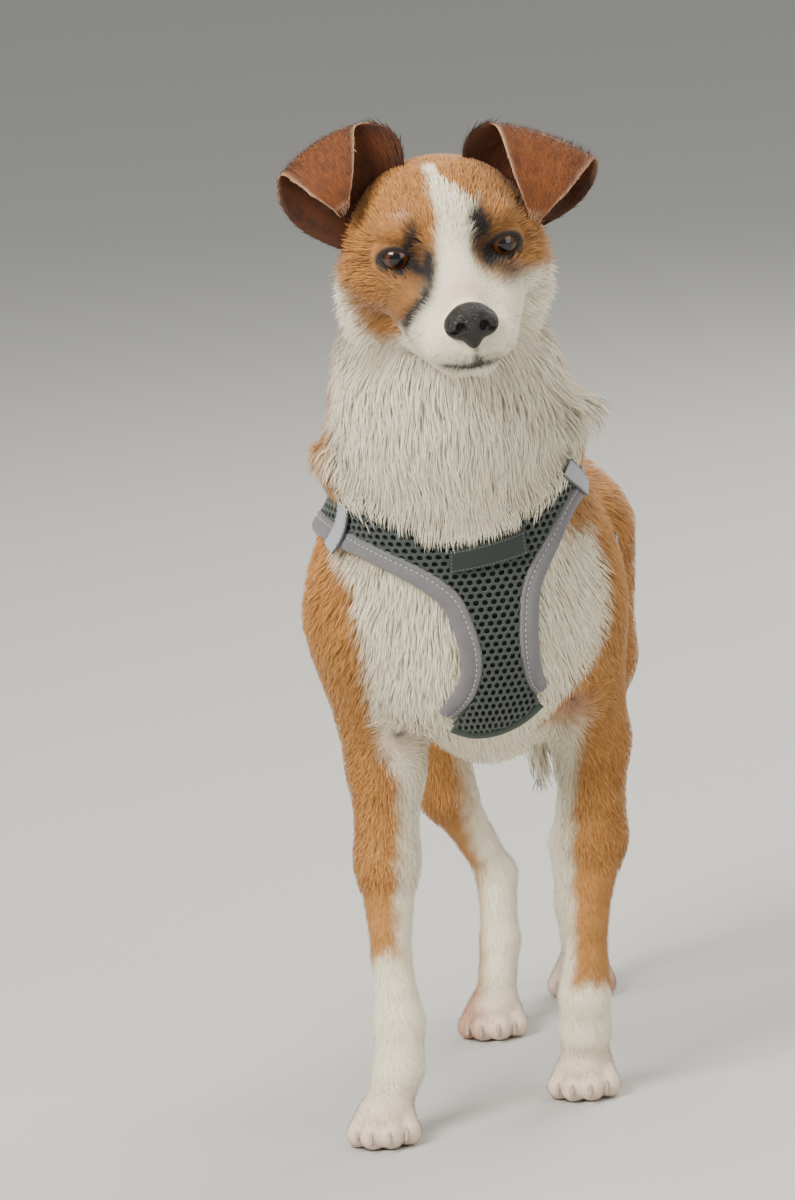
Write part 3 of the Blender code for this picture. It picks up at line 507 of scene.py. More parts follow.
marks = dict(
    # blaze edges: how far to the side, against the height on the head
    blazeHeight=(-25, -13, -4, 6, 17, 26, 34, 39, 42),
    blazeRight=(-27, -20, -12, -7, -5, -6, -5.5, -6.5, 0),
    blazeLeft=(9, 9, 9, 11, 16, 18, 8, -3, -1),
    blazeBack=(-32, -26, -17, -9, -2), blazeTop=(-7, -4, 1.5, 7, 14), browLine=24,
    muzzleHeight=(-48, -44, -30, -22, -13), muzzleBack=(-14, -7, 22, 37, 38), muzzleLine=-13,
    cheekSide=(-64, -58, -51, -43, -35, -20), cheekRight=(10, -4, -18, -34, -48, -50),
    patchSide=(9, 14, 24, 41, 55, 65), patchLeft=(0, -7, -13, -16, -22, -22),
    # the dark fold from the eye down to the corner of the mouth
    streak=((-13, 12, 2), (-15, 24, -4), (-19, 37, -12), (-27, 37, -21), (-31, 30, -29)),
    streakReach=5.5,
    # each spot on the head: strength, place and reach
    darkSpots=((0.4, (-33, 16, -38), (6, 12, 6)), (1.25, (-18.5, 6, 11), (4.4, 12, 7.5)),
            (1.35, (16.5, 6, 15.5), (5, 12, 8)), (0.95, (14, 12, 4), (4.6, 13, 11)),
            (0.9, (25, 12, -12), (12, 16, 6.5)), (0.55, (-25, 6, -17), (13, 22, 16)),
            (0.3, (26, 2, 13), (9, 10, 4))),
    cornerSpots=((0.9, (18, 8, -6), (4.5, 10, 2.6)), (0.6, (42, -4, -1), (3.6, 10, 2.0))),
    # and these are mottled: how even they are, and the size of the grain
    mottledSpots=((0.26, (-13.5, 13, -7), (4.5, 12, 10), 0.9, 2.4),
            (0.62, (2, 62, -42), (13, 11, 6.5), 0.75, 2.2)),
    pinkSpots=((0.8, (1, 47, -8), (9, 9, 8)), (0.5, (-24, 3, 21), (5, 8, 1.6))),
    eyeRim=dict(centre=(29, 2, -0.5), radii=(12.6, 14, 8.6), wide=0.15, strength=0.75),
    whiskerRows=(-28, -33, -38), whiskerDot=(1.3, 5, 1.1),
    # the plane between head and neck, and the angles where the white collar ends
    headCut=(17, -72, 474), headUp=(0.043, -0.622, 0.782),
    collar=(-76, 96), collarMiddle=(12, -50),
    chestRight=-44, chestLeft=86, bellyAlong=(-20, 60, 150, 220, 300),
    bellyLine=(232, 222, 243, 262, 250),
    rightLeg=((60, 107, 132, 155, 197, 211, 223, 248, 340),
            (-30, -43, -42, -39, -37, -41, -46, -46, -44)),
    leftLeg=((60, 115, 145, 178, 205, 222, 240, 264, 294, 340),
            (48, 51, 53, 56, 60, 68, 79, 84, 88, 82)),
    hindHeights=(90, 112, 146, 214), hindJoints=("hock", "narrow", "shank", "knee"),
    footLine=dict(right=103, left=69), hockLine=94, tailTip=212, loin=120,
    callus=((0.7, (-16, 262, 92), (7, 8, 9)), (0.5, (16, 372, 88), (7, 8, 9))),
    redBody=0.28, redHead=0.42,
)


# whorls in the hair at the elbows
swirls = settle(np.array(((-32, -21, 220), (62, 4, 230)), float), skinForms, 0, 1)[0]
print("whorls at", np.round(swirls, 1).tolist())


def lineOf(at, along, across):
    return np.interp(at, marks[along], marks[across])


def headMarks(h):
    s, f, u = h.T
    right = ramp(lineOf(u, "blazeHeight", "blazeRight") - s, 3)
    right *= np.where(u > marks["muzzleLine"], 1,
            ramp(lineOf(u, "muzzleHeight", "muzzleBack") - f, 6))
    right *= ramp(u - lineOf(s, "cheekSide", "cheekRight"), 6)
    edge = lineOf(u, "blazeHeight", "blazeLeft")
    top = lineOf(f, "blazeBack", "blazeTop")
    left = ramp(s - np.where(u > marks["browLine"], np.minimum(edge, top), edge), 2.4)
    left *= ramp(u - lineOf(s, "patchSide", "patchLeft"), 5)
    crown = np.maximum(ramp(-34 - f, 4) * ramp(u + 16, 8), ramp(-66 - f, 8))
    tan = np.maximum(np.where(s < 1, right, left), crown)

    fold = np.exp(-(nearPath(h, marks["streak"]) / marks["streakReach"]) ** 2)
    dark = (1.02 + 0.2 * wobble(h, 5.0)) * fold + spotsOf(h, marks["darkSpots"])
    for strength, at, reach, even, grain in marks["mottledSpots"]:
        dark += strength * spot(h, at, reach) * (even + 0.5 * wobble(h, grain))
    rim = marks["eyeRim"]
    for side in (-1, 1):
        mirror = (side, 1, 1)
        dark += spotsOf(h * mirror, marks["cornerSpots"])
        away = np.linalg.norm((h * mirror - rim["centre"]) / rim["radii"], axis=1) - 0.9
        dark += rim["strength"] * np.exp(-(away / rim["wide"]) ** 2) * ramp(f + 14, 4)
        # dots in rows where the whiskers grow
        for row, height in enumerate(marks["whiskerRows"]):
            for k in range(4):
                at = (22 - 2 * k - row, 30 + 7 * k, height - k)
                dark += 0.28 * spot(h * mirror, at, marks["whiskerDot"])
    lip = nearPath(h, lipOn)
    mouth = 2.2 + 1.4 * ramp(20 - np.abs(s - 3), 12)     # wider in the middle
    # the lip line is its own dark skin and painted shade in the crease; the soft grey band round
    # it is painted shade
    dark += 0.16 * np.exp(-((lip - 3) / 5) ** 2) + 1.4 * np.exp(-(lip / mouth) ** 2)
    # the philtrum's groove is drawn dark: its own skin and painted shade in the groove
    dark += 0.7 * np.exp(-(nearPath(h, philtrumOn) / 1.6) ** 2)
    return tan, dark, spotsOf(h, marks["pinkSpots"])


def legMarks(x, y, z):
    legTan = np.zeros(len(x))
    for side, sign in bothSides:
        line = np.interp(z, *marks[side + "Leg"])
        foot = marks["footLine"][side] - 0.5 * np.abs(x - forelegs[side]["narrow"][0])
        tan = ramp(sign * (x - line), 5) * ramp(z - foot, 5)
        legTan = np.where((x * sign > sign * 10) & (y < marks["loin"]), tan, legTan)
        joints = np.array([hindlegs[side][k] for k in marks["hindJoints"]])
        across, middle = [np.interp(z, marks["hindHeights"], joints[:, i]) for i in (0, 1)]
        tan = np.maximum(ramp(sign * (x - across) - 3, 6), ramp(y - middle - 5, 5))
        tan *= ramp(z - marks["hockLine"], 6)
        legTan = np.where((x * sign > sign * 2.5) & (y >= marks["loin"]), tan, legTan)
    return legTan


def bodyMarks(x, y, z):
    # a white collar open behind, a white chest and underside, then the legs
    middle = marks["collarMiddle"]
    angle = np.degrees(np.arctan2(x - middle[0], -(y - middle[1])))
    right, left = marks["collar"]
    neckTan = np.maximum(ramp(right - angle, 9), ramp(angle - left, 9))
    chestTan = np.where(x < 10, ramp(marks["chestRight"] - x, 5),
            ramp(np.maximum(x - marks["chestLeft"], np.minimum(y + 20, 30)), 6))
    chestTan = np.where(y > 0, 1, chestTan)
    under = ramp(lineOf(y, "bellyAlong", "bellyLine") - z, 9)
    under *= np.where(y < 100, ramp(42 - np.abs(x - 10), 8), 1)
    under *= np.where(y > 190, ramp(26 - np.abs(x - 2.5), 8), 1)
    trunkTan = np.where(z > 350, np.maximum(neckTan, ramp(y + 22, 10)), chestTan) * (1 - under)
    blendUp = ramp(z - 372, 16)
    tan = trunkTan * (1 - blendUp) + neckTan * blendUp
    legTan = legMarks(x, y, z)
    low = ramp(222 - z, 10)
    above = ramp(z - 240, 14)
    haunch = np.maximum(legTan, ramp(np.abs(x - 2.5) - 31, 8))
    tan = np.where(y < marks["loin"], tan * (1 - low) + legTan * low,
            tan * above + haunch * (1 - above))
    isTail = (y > 322) & (np.abs(x - 3) < 20) & (z < 330)
    return np.where(isTail, ramp(z - marks["tailTip"], 7), tan)


def marksAt(points):
    # points in mm in the tables' own frame; the lines are shaken a little
    shaken = points + 1.6 * wobble(points, 7.0)[:, None] * (1, 0, 1)
    fine = points + 0.8 * wobble(points, 3.1)[:, None]
    isHead = ramp((points - marks["headCut"]) @ np.array(marks["headUp"]), 10)
    headTan, headDark, headPink = headMarks((fine - eyeMiddle) @ head)
    tan = headTan * isHead + bodyMarks(*shaken.T) * (1 - isHead)
    dark = np.clip(headDark, 0, 1) * isHead
    bare = ramp(26 - shaken[:, 2], 12) * 0.5 + spotsOf(points, marks["callus"])
    pink = headPink * isHead + np.clip(bare, 0, 1) * (1 - isHead)
    for centre in swirls:
        core = spot(points, centre + (0, 0, 2), (3.8, 14, 3.8))
        pink = pink * (1 - core) + 0.5 * spot(points, centre, (9, 14, 9)) * (1 - core)
        dark = dark + 0.9 * core
    red = marks["redBody"] * (1 - isHead) + marks["redHead"] * isHead
    return np.stack([1 - tan, np.clip(dark, 0, 1), np.clip(pink, 0, 1), red], axis=1)


# ears: a cup open to the front, folded over so that the flap hangs forward
ears = {
    "right": dict(side=-1, inner=(15, -50, 34), outer=(54, -40, -2), foldIn=(39, -56, 63),
            foldOut=(83, -46, 45), edge=(84, -44, 18), tip=(53, -20, 27),
            dome=(-17, 0, 15)),
    "left": dict(side=1, inner=(17, -50, 33), outer=(56, -40, -4), foldIn=(38, -56, 53),
            foldOut=(90, -47, 30), edge=(84, -44, 8), tip=(50, -20, 8), dome=(-11, 0, 11)),
}
earMake = dict(rows=49, columns=27, thick=1.5, rim=0.8, cup=14.4, rounding=12,
        baseBow=(-6, -26, -6), foldBow=(0, -8, 7), edgeOut=0.8, tipWide=16,
        flapBow=(0, 13, 6), corners=1.6,
        depth=1.3, hair=5.2, cupHair=8, gap=1.15, width=0.5, flare=1.2)


def bend(a, b, c, t):
    return (1 - t) ** 2 * a + 2 * t * (1 - t) * b + t * t * c


def earPlace(ear, u, v):
    # u runs from the inner edge to the outer, v from the base over the fold (1) to the tip (2)
    inner, outer, foldIn, foldOut, edge, tip, dome = [
        np.array(ear[k], float)
        for k in ("inner", "outer", "foldIn", "foldOut", "edge", "tip", "dome")]
    base = bend(inner, (inner + outer) / 2 + earMake["baseBow"], outer, u)
    fold = bend(foldIn, (foldIn + foldOut) / 2 + earMake["foldBow"], foldOut, u)
    if v <= 1:
        waist = (base + fold) / 2 - np.array((0, 1, 0)) * earMake["cup"] * np.sin(pi * u)
        waist = waist + (edge * 2 - (outer + foldOut)) * u ** 3 * earMake["edgeOut"]
        place = bend(base, waist + dome * (1 - u) ** 3, fold, v)
    else:
        end = tip + unit(foldOut - foldIn) * (u - 0.5) * earMake["tipWide"] * (1.2 - 0.2 * v)
        place = bend(fold, fold * 0.52 + end * 0.48 + earMake["flapBow"], end, v - 1)
    return eyeMiddle + head @ (place * (ear["side"], 1, 1))


def earSheet(name):
    rows, columns = earMake["rows"], earMake["columns"]
    grid = np.array([[earPlace(ears[name], c / (columns - 1), 2 * r / (rows - 1))
                    for c in range(columns)] for r in range(rows)])
    for _ in range(earMake["rounding"]):
        soft = grid.copy()
        soft[1:-1] = (grid[:-2] + 2 * grid[1:-1] + grid[2:]) / 4
        soft[:, 1:-1] = (soft[:, :-2] + 2 * soft[:, 1:-1] + soft[:, 2:]) / 4
        grid = soft
    # the flap's corners are rounded off
    v = np.linspace(-1, 1, rows)[:, None, None]
    u = np.linspace(-1, 1, columns)[None, :, None]
    middle = grid[:, columns // 2][:, None]
    return grid + (middle - grid) * np.clip(v - 0.55, 0, 1) ** 2 * u ** 2 * earMake["corners"]


def shellOf(under, over):
    # a closed wall between two sheets of the same rows and columns
    rows, columns = over.shape[:2]
    count = rows * columns
    cell = (np.arange(rows - 1)[:, None] * columns + np.arange(columns - 1)).ravel()
    quad = np.stack([cell, cell + 1, cell + columns + 1, cell + columns], 1)
    rim = np.concatenate([np.arange(columns), np.arange(1, rows) * columns + columns - 1,
                (rows - 1) * columns + np.arange(columns - 2, -1, -1),
                np.arange(rows - 2, 0, -1) * columns])
    after = np.roll(rim, -1)
    edge = np.stack([rim, after, after + count, rim + count], 1)
    points = np.concatenate([under.reshape(-1, 3), over.reshape(-1, 3)])
    return points, np.concatenate([quad[:, ::-1], quad + count, edge])


def earPart(name, number):
    grid = earSheet(name)
    down, across = np.gradient(grid, axis=0), np.gradient(grid, axis=1)
    way = unit(np.cross(down, across))
    rows, columns = grid.shape[:2]
    u = np.linspace(0, 1, columns)[None, :, None]
    v = np.linspace(0, 1, rows)[:, None, None]
    thick = earMake["rim"] + (earMake["thick"] - earMake["rim"]) * np.sin(pi * u) ** 0.5
    thick = thick * (1 - 0.3 * v)
    points, faces = shellOf(grid - way * thick / 2, grid + way * thick / 2)
    place = np.stack(np.broadcast_arrays(u[..., 0], v[..., 0]), -1).reshape(-1, 2)
    n = len(points)
    inner = (np.arange(n) < rows * columns) == (name == "left")
    u, v = np.tile(place, (2, 1)).T
    edge = np.minimum(np.minimum(u, 1 - u), (1 - v) * 1.5)
    pale = np.exp(-(edge / 0.028) ** 2) * ramp(v - 0.4, 0.2)
    # darker near the edges as painted shade, and darker on the back towards the base, over a
    # random mottle of the ear's own colour
    mottleAndShade = (0.08 + 0.30 * np.clip(wobble(points, 6.0), 0, 1)
            + 0.28 * ramp(0.10 - edge, 0.12) + 0.22 * ramp(0.55 - v, 0.5) * ~inner)
    # painted shade: inside, the cup is darker towards its base
    dark = np.where(inner, 0.3 * ramp(0.45 - v, 0.3), 0) + mottleAndShade * (1 - pale)
    red = np.where(inner, 1.0, 0.95) * (1 - 0.45 * pale)
    longer = earMake["cupHair"] * (v < 0.32) * inner * ramp(0.6 - u, 0.3)
    part = dict(points=points, faces=faces, lie=np.tile(unit(down).reshape(-1, 3), (2, 1)),
            out=np.concatenate([-way.reshape(-1, 3), way.reshape(-1, 3)]),
            place=np.tile(place, (2, 1)), region=np.full(n, number),
            follow=np.zeros(n, bool), hair=earMake["hair"] + longer,
            marks=np.stack([0.16 * pale, dark, 0.18 * pale, red], 1))
    part.update({key: np.full(n, earMake[key]) for key in hairKeys if key != "hair"})
    return part


# eyelids: rings round the opening, rolled over the ball and sunk under the skin
lids = dict(wide=57, high=34, low=35, tilt=9, sides=72, brow=0.5, gaze=(0.16, 1, 0),
        # turned out from the opening's edge in degrees, and height over the ball in mm
        rings=((-6, 0.25), (-1, 0.3), (2, 0.9), (6, 1.5), (11, 1.75), (19, 1.8), (29, 1.3),
            (41, 0.2), (54, -1.6), (66, -4)),
        # how dark each ring is from the wet edge out: the rim's own black skin, then painted shade
        # to match the coat's darker roots
        shades=(1, 1, 1, 0.85, 0.5, 0.3, 0.2), firstHair=4,
        depth=0.8, hair=2.4, gap=0.85, width=0.34, flare=0.0)


def eyeCentre(side):
    return onHead(side * eye["apart"] / 2, eye["forward"], 0)


def ringFaces(rings, sides):
    # quads between rings of points, each ring closed on itself
    k = np.arange(sides)
    start = np.arange(rings - 1)[:, None] * sides
    a, b = start + k, start + (k + 1) % sides
    return np.stack([a, b, b + sides, a + sides], -1).reshape(-1, 4)


def facingOf(points, faces):
    p = points[faces]
    return np.cross(p[:, 2] - p[:, 0], p[:, 3] - p[:, 1])


def lidPart(side):
    centre = eyeCentre(side)
    across, ahead, rise = lids["gaze"]
    gaze = unit(headLie(side * across, ahead, rise))
    # outwards and up across the gaze, tilted as the opening is
    outward = headLie(side, 0, 0)
    outward = unit(outward - gaze * (outward @ gaze))
    up = np.cross(gaze, outward) * side
    up *= np.sign(up @ head[:, 2])
    tilt = radians(lids["tilt"])
    outward, up = outward * cos(tilt) + up * sin(tilt), up * cos(tilt) - outward * sin(tilt)
    points = []
    for ring, (turnOut, height) in enumerate(lids["rings"]):
        for k in range(lids["sides"]):
            a = 2 * pi * k / lids["sides"]
            c, s = cos(a), sin(a)
            tall = lids["high"] if s > 0 else lids["low"]
            # an almond: the corners are drawn out to points
            flat = (abs(c) / lids["wide"]) ** 2 + (abs(s) / tall) ** 1.6 * tall ** -0.4
            half = 1 / np.sqrt(flat)
            opening = radians(half + turnOut)
            over = height + (lids["brow"] * s if s > 0 and 1 <= ring <= 5 else 0)
            direction = gaze * cos(opening) + (outward * c + up * s) * sin(opening)
            points.append(centre + direction * (eye["radius"] + over))
    points = np.array(points)
    faces = ringFaces(len(lids["rings"]), lids["sides"])
    if ((points[faces].mean(1) - centre) * facingOf(points, faces)).sum() < 0:
        faces = faces[:, ::-1]
    n = len(points)
    ring = np.repeat(np.arange(len(lids["rings"])), lids["sides"])
    part = dict(points=points, faces=faces, out=unit(points - centre), region=np.zeros(n, int),
            follow=np.zeros(n, bool), lie=np.tile(headLie(side * 0.4, -1, 0), (n, 1)),
            place=np.zeros((n, 2)), marks=marksAt(points))
    part.update({key: np.full(n, lids[key]) for key in hairKeys})
    part["gap"][ring < lids["firstHair"]] = 50.0         # the wet edge stays bare
    for number, shade in enumerate(lids["shades"]):
        mine = ring == number
        part["marks"][mine, 1] = np.maximum(part["marks"][mine, 1], shade)
    return part


# the skin: one surface for all the flesh; each axis in spans of mm with their own cell size
skinCells = dict(x=((-95, 106, 1.8),),
        y=((-215, -92, 1.55), (-92, 5, 2.6), (5, 392, 4.2)),
        z=((-2.4, 34, 2.0), (34, 428, 3.5), (428, 560, 1.55)))


def fleshPart():
    axes = [np.concatenate([np.arange(*span) for span in skinCells[k]]) for k in "xyz"]
    points, faces, out = netSurface(skinForms, axes, 1)
    kinds, lies, where = coatAt(points, skinForms)
    share = kinds / np.maximum(kinds.sum(1, keepdims=True), 1e-6)
    part = dict(points=points, faces=faces, out=out, lie=lies, region=where,
            follow=np.ones(len(points), bool), place=np.zeros((len(points), 2)),
            marks=marksAt(points))
    for key in hairKeys:
        part[key] = share @ np.array([coats[c][key] for c in coatNames], float)
    return part


def joined(parts, faceKey="faces"):
    # several sets of points and faces as one
    starts = np.cumsum([0] + [len(part["points"]) for part in parts])
    whole = {key: np.concatenate([part[key] for part in parts]) for key in parts[0]}
    whole[faceKey] = np.concatenate([p[faceKey] + start for p, start in zip(parts, starts)])
    return whole


skin = joined([fleshPart(), earPart("right", 8), earPart("left", 9), lidPart(-1), lidPart(1)])
print("skin ready:", len(skin["faces"]), "faces")


# harness guides in mm; every piece is laid on the tips of the coat
vest = dict(lift=2.1, thick=3.0, seam=2.2, tape=9.0, hem=4.0, strap=20.0, strapThick=2.0,
        rows=44, columns=30, netLow=3.0, netThick=1.5, backing=0.9, liningLift=1.6,
        weld=0.00005)
armholeRight = [(1, -52, 236), (15, -64, 251), (21, -70, 269), (20, -76, 289), (11, -80, 313),
        (-12, -80, 331), (-41, -64, 344), (-66, -24, 352)]
armholeLeft = [(48, -47, 245), (43, -57, 257), (42, -65, 275), (43, -69, 292), (47, -70, 314),
        (58, -64, 335), (70, -50, 357), (77, -24, 366)]
neckline = [(-66, -24, 352), (-68, -32, 364), (-63, -44, 373), (-42, -70, 368), (-17, -82, 353),
        (6, -87, 344), (27, -85, 346), (48, -76, 353), (64, -64, 366), (73, -48, 379),
        (78, -36, 379), (77, -24, 366)]
hem = [(1, -52, 236), (12, -49, 230), (24, -48, 230), (37, -47, 236), (48, -47, 245)]
shoulderStraps = {
    "right": [(-68, -27, 357), (-64, 0, 366), (-48, 20, 380), (-28, 36, 388), (-13, 48, 391)],
    "left": [(78, -28, 370), (76, 2, 370), (64, 20, 378), (46, 36, 388), (30, 48, 391)],
}
girthStraps = {
    "right": [(-4, -34, 222), (-8, 0, 204), (-12, 46, 196), (-34, 84, 210), (-64, 102, 250),
            (-68, 104, 300), (-48, 94, 352), (-14, 74, 388)],
    "left": [(42, -30, 226), (34, 10, 206), (32, 56, 196), (52, 96, 212), (80, 112, 256),
            (82, 110, 300), (62, 96, 352), (31, 74, 388)],
}
tabs = {"right": [(-43, -67, 363), (-54, -50, 333)], "left": [(70, -62, 376), (77, -30, 358)]}
label = dict(low=(10, -84, 324), high=(11, -86, 338), lowEnd=(49, -72, 331),
        highEnd=(48, -76, 345), thick=0.8)
backPlace = (9, 62)


def curveThrough(guides, count):
    # a smooth path through the guides, in even steps
    guides = np.array(guides, float)
    ends = np.vstack([2 * guides[0] - guides[1], guides, 2 * guides[-1] - guides[-2]])
    fine = []
    for a, b, c, d in zip(ends, ends[1:], ends[2:], ends[3:]):
        for t in np.linspace(0, 1, 24, endpoint=False):
            fine.append(0.5 * (2 * b + (c - a) * t + (2 * a - 5 * b + 4 * c - d) * t ** 2
                        + (3 * b - a - 3 * c + d) * t ** 3))
    fine = np.array(fine + [guides[-1]])
    run = np.concatenate([[0], np.cumsum(np.linalg.norm(np.diff(fine, axis=0), axis=1))])
    even = np.linspace(0, run[-1], count)
    return np.stack([np.interp(even, run, fine[:, i]) for i in range(3)], axis=1)


def laid(grid, lift):
    # a grid of points brought onto the coat's tips, and the way out at each
    on, out = settle(grid.reshape(-1, 3), outerForms, lift, 0, rounds=6)
    return on.reshape(grid.shape), out.reshape(grid.shape)


def patchGrid(low, high, start, end):
    # a sheet filled in between its four edges
    v = np.linspace(0, 1, len(start))[:, None, None]
    u = np.linspace(0, 1, len(low))[None, :, None]
    corners = (1 - u) * (1 - v) * low[0] + u * (1 - v) * low[-1]
    corners = corners + (1 - u) * v * high[0] + u * v * high[-1]
    return ((1 - v) * low[None] + v * high[None] + (1 - u) * start[:, None] + u * end[:, None]
            - corners)


panelEdges = [curveThrough(guides, vest[count]) for guides, count in (
    (hem, "columns"), (neckline, "columns"), (armholeRight, "rows"), (armholeLeft, "rows"))]
panelGrid, panelOut = laid(patchGrid(*panelEdges), vest["lift"])
neckEdge = curveThrough(neckline[1:-1], 120)
pressed = np.concatenate([panelGrid[::3, ::3].reshape(-1, 3)]
        + [curveThrough(guides, 14) for guides in shoulderStraps.values()]
        + [curveThrough(guides, 36)[13:] for guides in girthStraps.values()])


def nearestOf(points, others):
    # how far to the nearest of the others, and how much higher than it
    best = np.full(len(points), 1e3)
    above = np.zeros(len(points))
    for other in others:
        away = np.linalg.norm(points - other, axis=1)
        above = np.where(away < best, points[:, 2] - other[2], above)
        best = np.minimum(best, away)
    return best, above


# the coat: every tuft is a thin closed blade that lies along the body
coat = dict(sunk=0.5, swirl=0.22, stray=0.13, shortRings=6.0, roundness=0.86, shortRoundness=0.62,
        patch=0.003, clump=3.3, spin=0.9, thinness=0.7,
        length=(0.72, 1.15), height=(0.7, 1.06), width=(0.75, 1.25),
        # round the whorls: reach in mm, and how much shorter the hair is
        whorl=22, whorlShort=0.5,
        # the collar over the vest's top edge; reach of the straps that press the hair down
        fallReach=42, fallLift=(5.9, 7.6), fallOver=(-6, 6), fallBack=-30, pressReach=15,
        lidGap=1.9, lipGap=2.5, noseGap=0.6, vestGap=14)
stations = (0, 0.3, 0.65, 1.0)            # where a tuft can bend, along its length
soleSoft = 0.0008                         # metres over which the soles flatten


def pickRoots():
    quads = skin["faces"]
    triangles = np.concatenate([quads[:, (0, 1, 2)], quads[:, (0, 2, 3)]])
    a, b, c = skin["points"][triangles].transpose(1, 0, 2)
    area = np.linalg.norm(np.cross(b - a, c - a), axis=1) / 2
    run = np.cumsum(area / skin["gap"][triangles].mean(1) ** 2)
    number = int(run[-1])
    ticks = (np.arange(number) + luck.random(number)) * run[-1] / number
    chosen = np.minimum(np.searchsorted(run, ticks), len(run) - 1)
    a, b = luck.random((2, number))
    over = a + b > 1
    a[over], b[over] = 1 - a[over], 1 - b[over]
    weights = np.stack([1 - a - b, a, b], 1)
    tri = triangles[chosen]
    roots = {}
    for key, values in skin.items():
        if key in ("region", "follow"):
            roots[key] = values[tri[:, 0]]
        elif key != "faces":
            share = weights if values.ndim == 1 else weights[..., None]
            roots[key] = (values[tri] * share).sum(1)
    return roots


def kept(roots, keep):
    return {k: v[keep] for k, v in roots.items()}


def clearOfTrim(roots):
    # none on the eyes, nose or lips, nor under the middle of the vest
    points = roots["points"]
    bare = fieldAt(points, noseForms(), 0) < coat["noseGap"]
    bare |= nearPath((points - eyeMiddle) @ head, lipOn) < coat["lipGap"]
    for side in (-1, 1):
        away = np.linalg.norm(points - eyeCentre(side), axis=1)
        bare |= away < eye["radius"] + coat["lidGap"]
    bare &= roots["follow"]
    for p in panelGrid[8:-8:2, 6:-6:2].reshape(-1, 3):
        bare |= ((points - p) ** 2).sum(1) <= coat["vestGap"] ** 2
    return kept(roots, ~bare)


def lieOf(roots, out):
    # the way each tuft lies: along the body, round the whorls, and a little astray
    points = roots["points"]
    lie = unit(roots["lie"])
    full = np.ones(len(points))
    for centre in swirls:
        away = points - centre
        far = np.linalg.norm(away, axis=1, keepdims=True) + 1e-6
        share = np.exp(-(far / coat["whorl"]) ** 4)
        full -= coat["whorlShort"] * np.exp(-(far[:, 0] / 12) ** 2)
        whirl = away / far * 0.75 + np.cross(out, away / far) * 0.65
        lie = lie * (1 - share) + whirl * share
    lie = unit(lie - out * (lie * out).sum(1, keepdims=True), 1e-9)
    hair = roots["hair"]
    angle = coat["swirl"] * wobble(points, 11.0, 2.0) * np.clip(hair / 20, 0.25, 1.2)
    angle += coat["stray"] * luck.standard_normal(len(points)) * np.where(hair > 20, 0.6, 1)
    lie = lie * np.cos(angle)[:, None] + np.cross(out, lie) * np.sin(angle)[:, None]
    return lie, full


def tuftPaths(roots):
    n = len(roots["points"])
    points, hair, follow = roots["points"], roots["hair"], roots["follow"]
    out = unit(roots["out"])
    lie, full = lieOf(roots, out)
    length = hair * luck.uniform(*coat["length"], n) * full
    height = roots["depth"] * luck.uniform(*coat["height"], n)
    free = nearestOf(points, pressed)[0] >= coat["pressReach"]
    loose = roots["flare"] * luck.random(n) ** 3 * free
    # the collar's hair falls over the top of the vest
    away, above = nearestOf(points, neckEdge)
    falls = (above > 0) & (above < coat["fallReach"]) & (away < 60)
    falls &= points[:, 1] < coat["fallBack"]
    proud = luck.uniform(*coat["fallLift"], n)
    reach = above[falls] + luck.uniform(*coat["fallOver"], falls.sum())
    length[falls] = np.minimum(length[falls], reach)
    paths = [points - out * coat["sunk"]]
    for s in stations[1:]:
        rise = height * (1 - (1 - s) ** 2) + loose * s ** 2
        place = points + lie * (length * s)[:, None] + out * rise[:, None]
        off = np.zeros(n)
        off[follow] = rise[follow] - fieldAt(place[follow], skinForms, 1)
        limit = 0.6 * length * s
        place = place + out * np.clip(off, -limit, limit)[:, None]
        over = ramp(7 - nearestOf(place[falls], neckEdge)[1], 6)
        lift = proud[falls] - fieldAt(place[falls], outerForms, 0)
        place[falls] += out[falls] * (over * np.clip(lift, 0, 16))[:, None]
        paths.append(place)
    # neighbours lean together into locks
    size = coat["clump"] * roots["gap"]
    cell = np.round(points / size[:, None] + luck.uniform(-0.3, 0.3, (n, 3))).astype(int)
    cell = cell @ (1, 4001, 4001 ** 2) * 12 + roots["region"]
    lock = np.unique(cell, return_inverse=True)[1]
    many = np.bincount(lock)[:, None]
    pull = np.clip((hair - 3) / 60, 0.05, 0.32)[:, None]

    def mean(values):
        return np.stack([np.bincount(lock, values[:, i]) for i in range(3)], 1) / many

    middle = mean(points)[lock]
    for i, s in enumerate(stations[1:], 1):
        target = mean(paths[i])[lock] + 0.25 * (points - middle)
        paths[i] = paths[i] + (target - paths[i]) * pull * s ** 2
    tone = luck.random(lock.max() + 1)[lock] * 0.55 + luck.random(n) * 0.45
    # hair that hangs over an edge bends in more places
    rings = np.where(hair < coat["shortRings"], 0, np.where(falls, 2, 1))
    return paths, out, lie, tone, rings


# the skin unrolled: round each part's own axis and along it; centre, along and facing
upward, backward = np.array((0, 0, 1.0)), np.array((0, 1.0, 0))
unrollAxes = {0: (onHead(0, -30, -15), head[:, 1], head[:, 2]),
        1: (np.array((12, -50, 400)), upward, -backward),
        2: (np.array((6, 60, 295)), backward, upward),
        7: (np.array((2, 346, 230)), upward, backward)}


def unwrapOf(points, where, place):
    uv = np.zeros((len(points), 2))
    for number in np.unique(where):
        mine = where == number
        p = points[mine]
        if number >= 8:
            uv[mine] = place[mine] * (0.46, 0.98) + (0.5 * (number == 9) + 0.02, 0.01)
            continue
        if number in unrollAxes:
            centre, along, facing = unrollAxes[number]
            local = p - centre
        else:
            joints = (forelegs if number < 5 else hindlegs)["right" if number % 2 else "left"]
            chain = np.array(list(joints.values()), float)[::-1]
            centre = np.stack([np.interp(p[:, 2], chain[:, 2], chain[:, i]) for i in (0, 1)], 1)
            local = np.column_stack([p[:, :2] - centre, p[:, 2]])
            along, facing = upward, backward
        angle = np.arctan2(local @ np.cross(along, facing), local @ facing) / (2 * pi) + 0.5
        run = local @ along
        uv[mine] = np.stack([angle, (run - run.min()) / (np.ptp(run) + 1e-9)], 1) * 0.98 + 0.01
    return uv


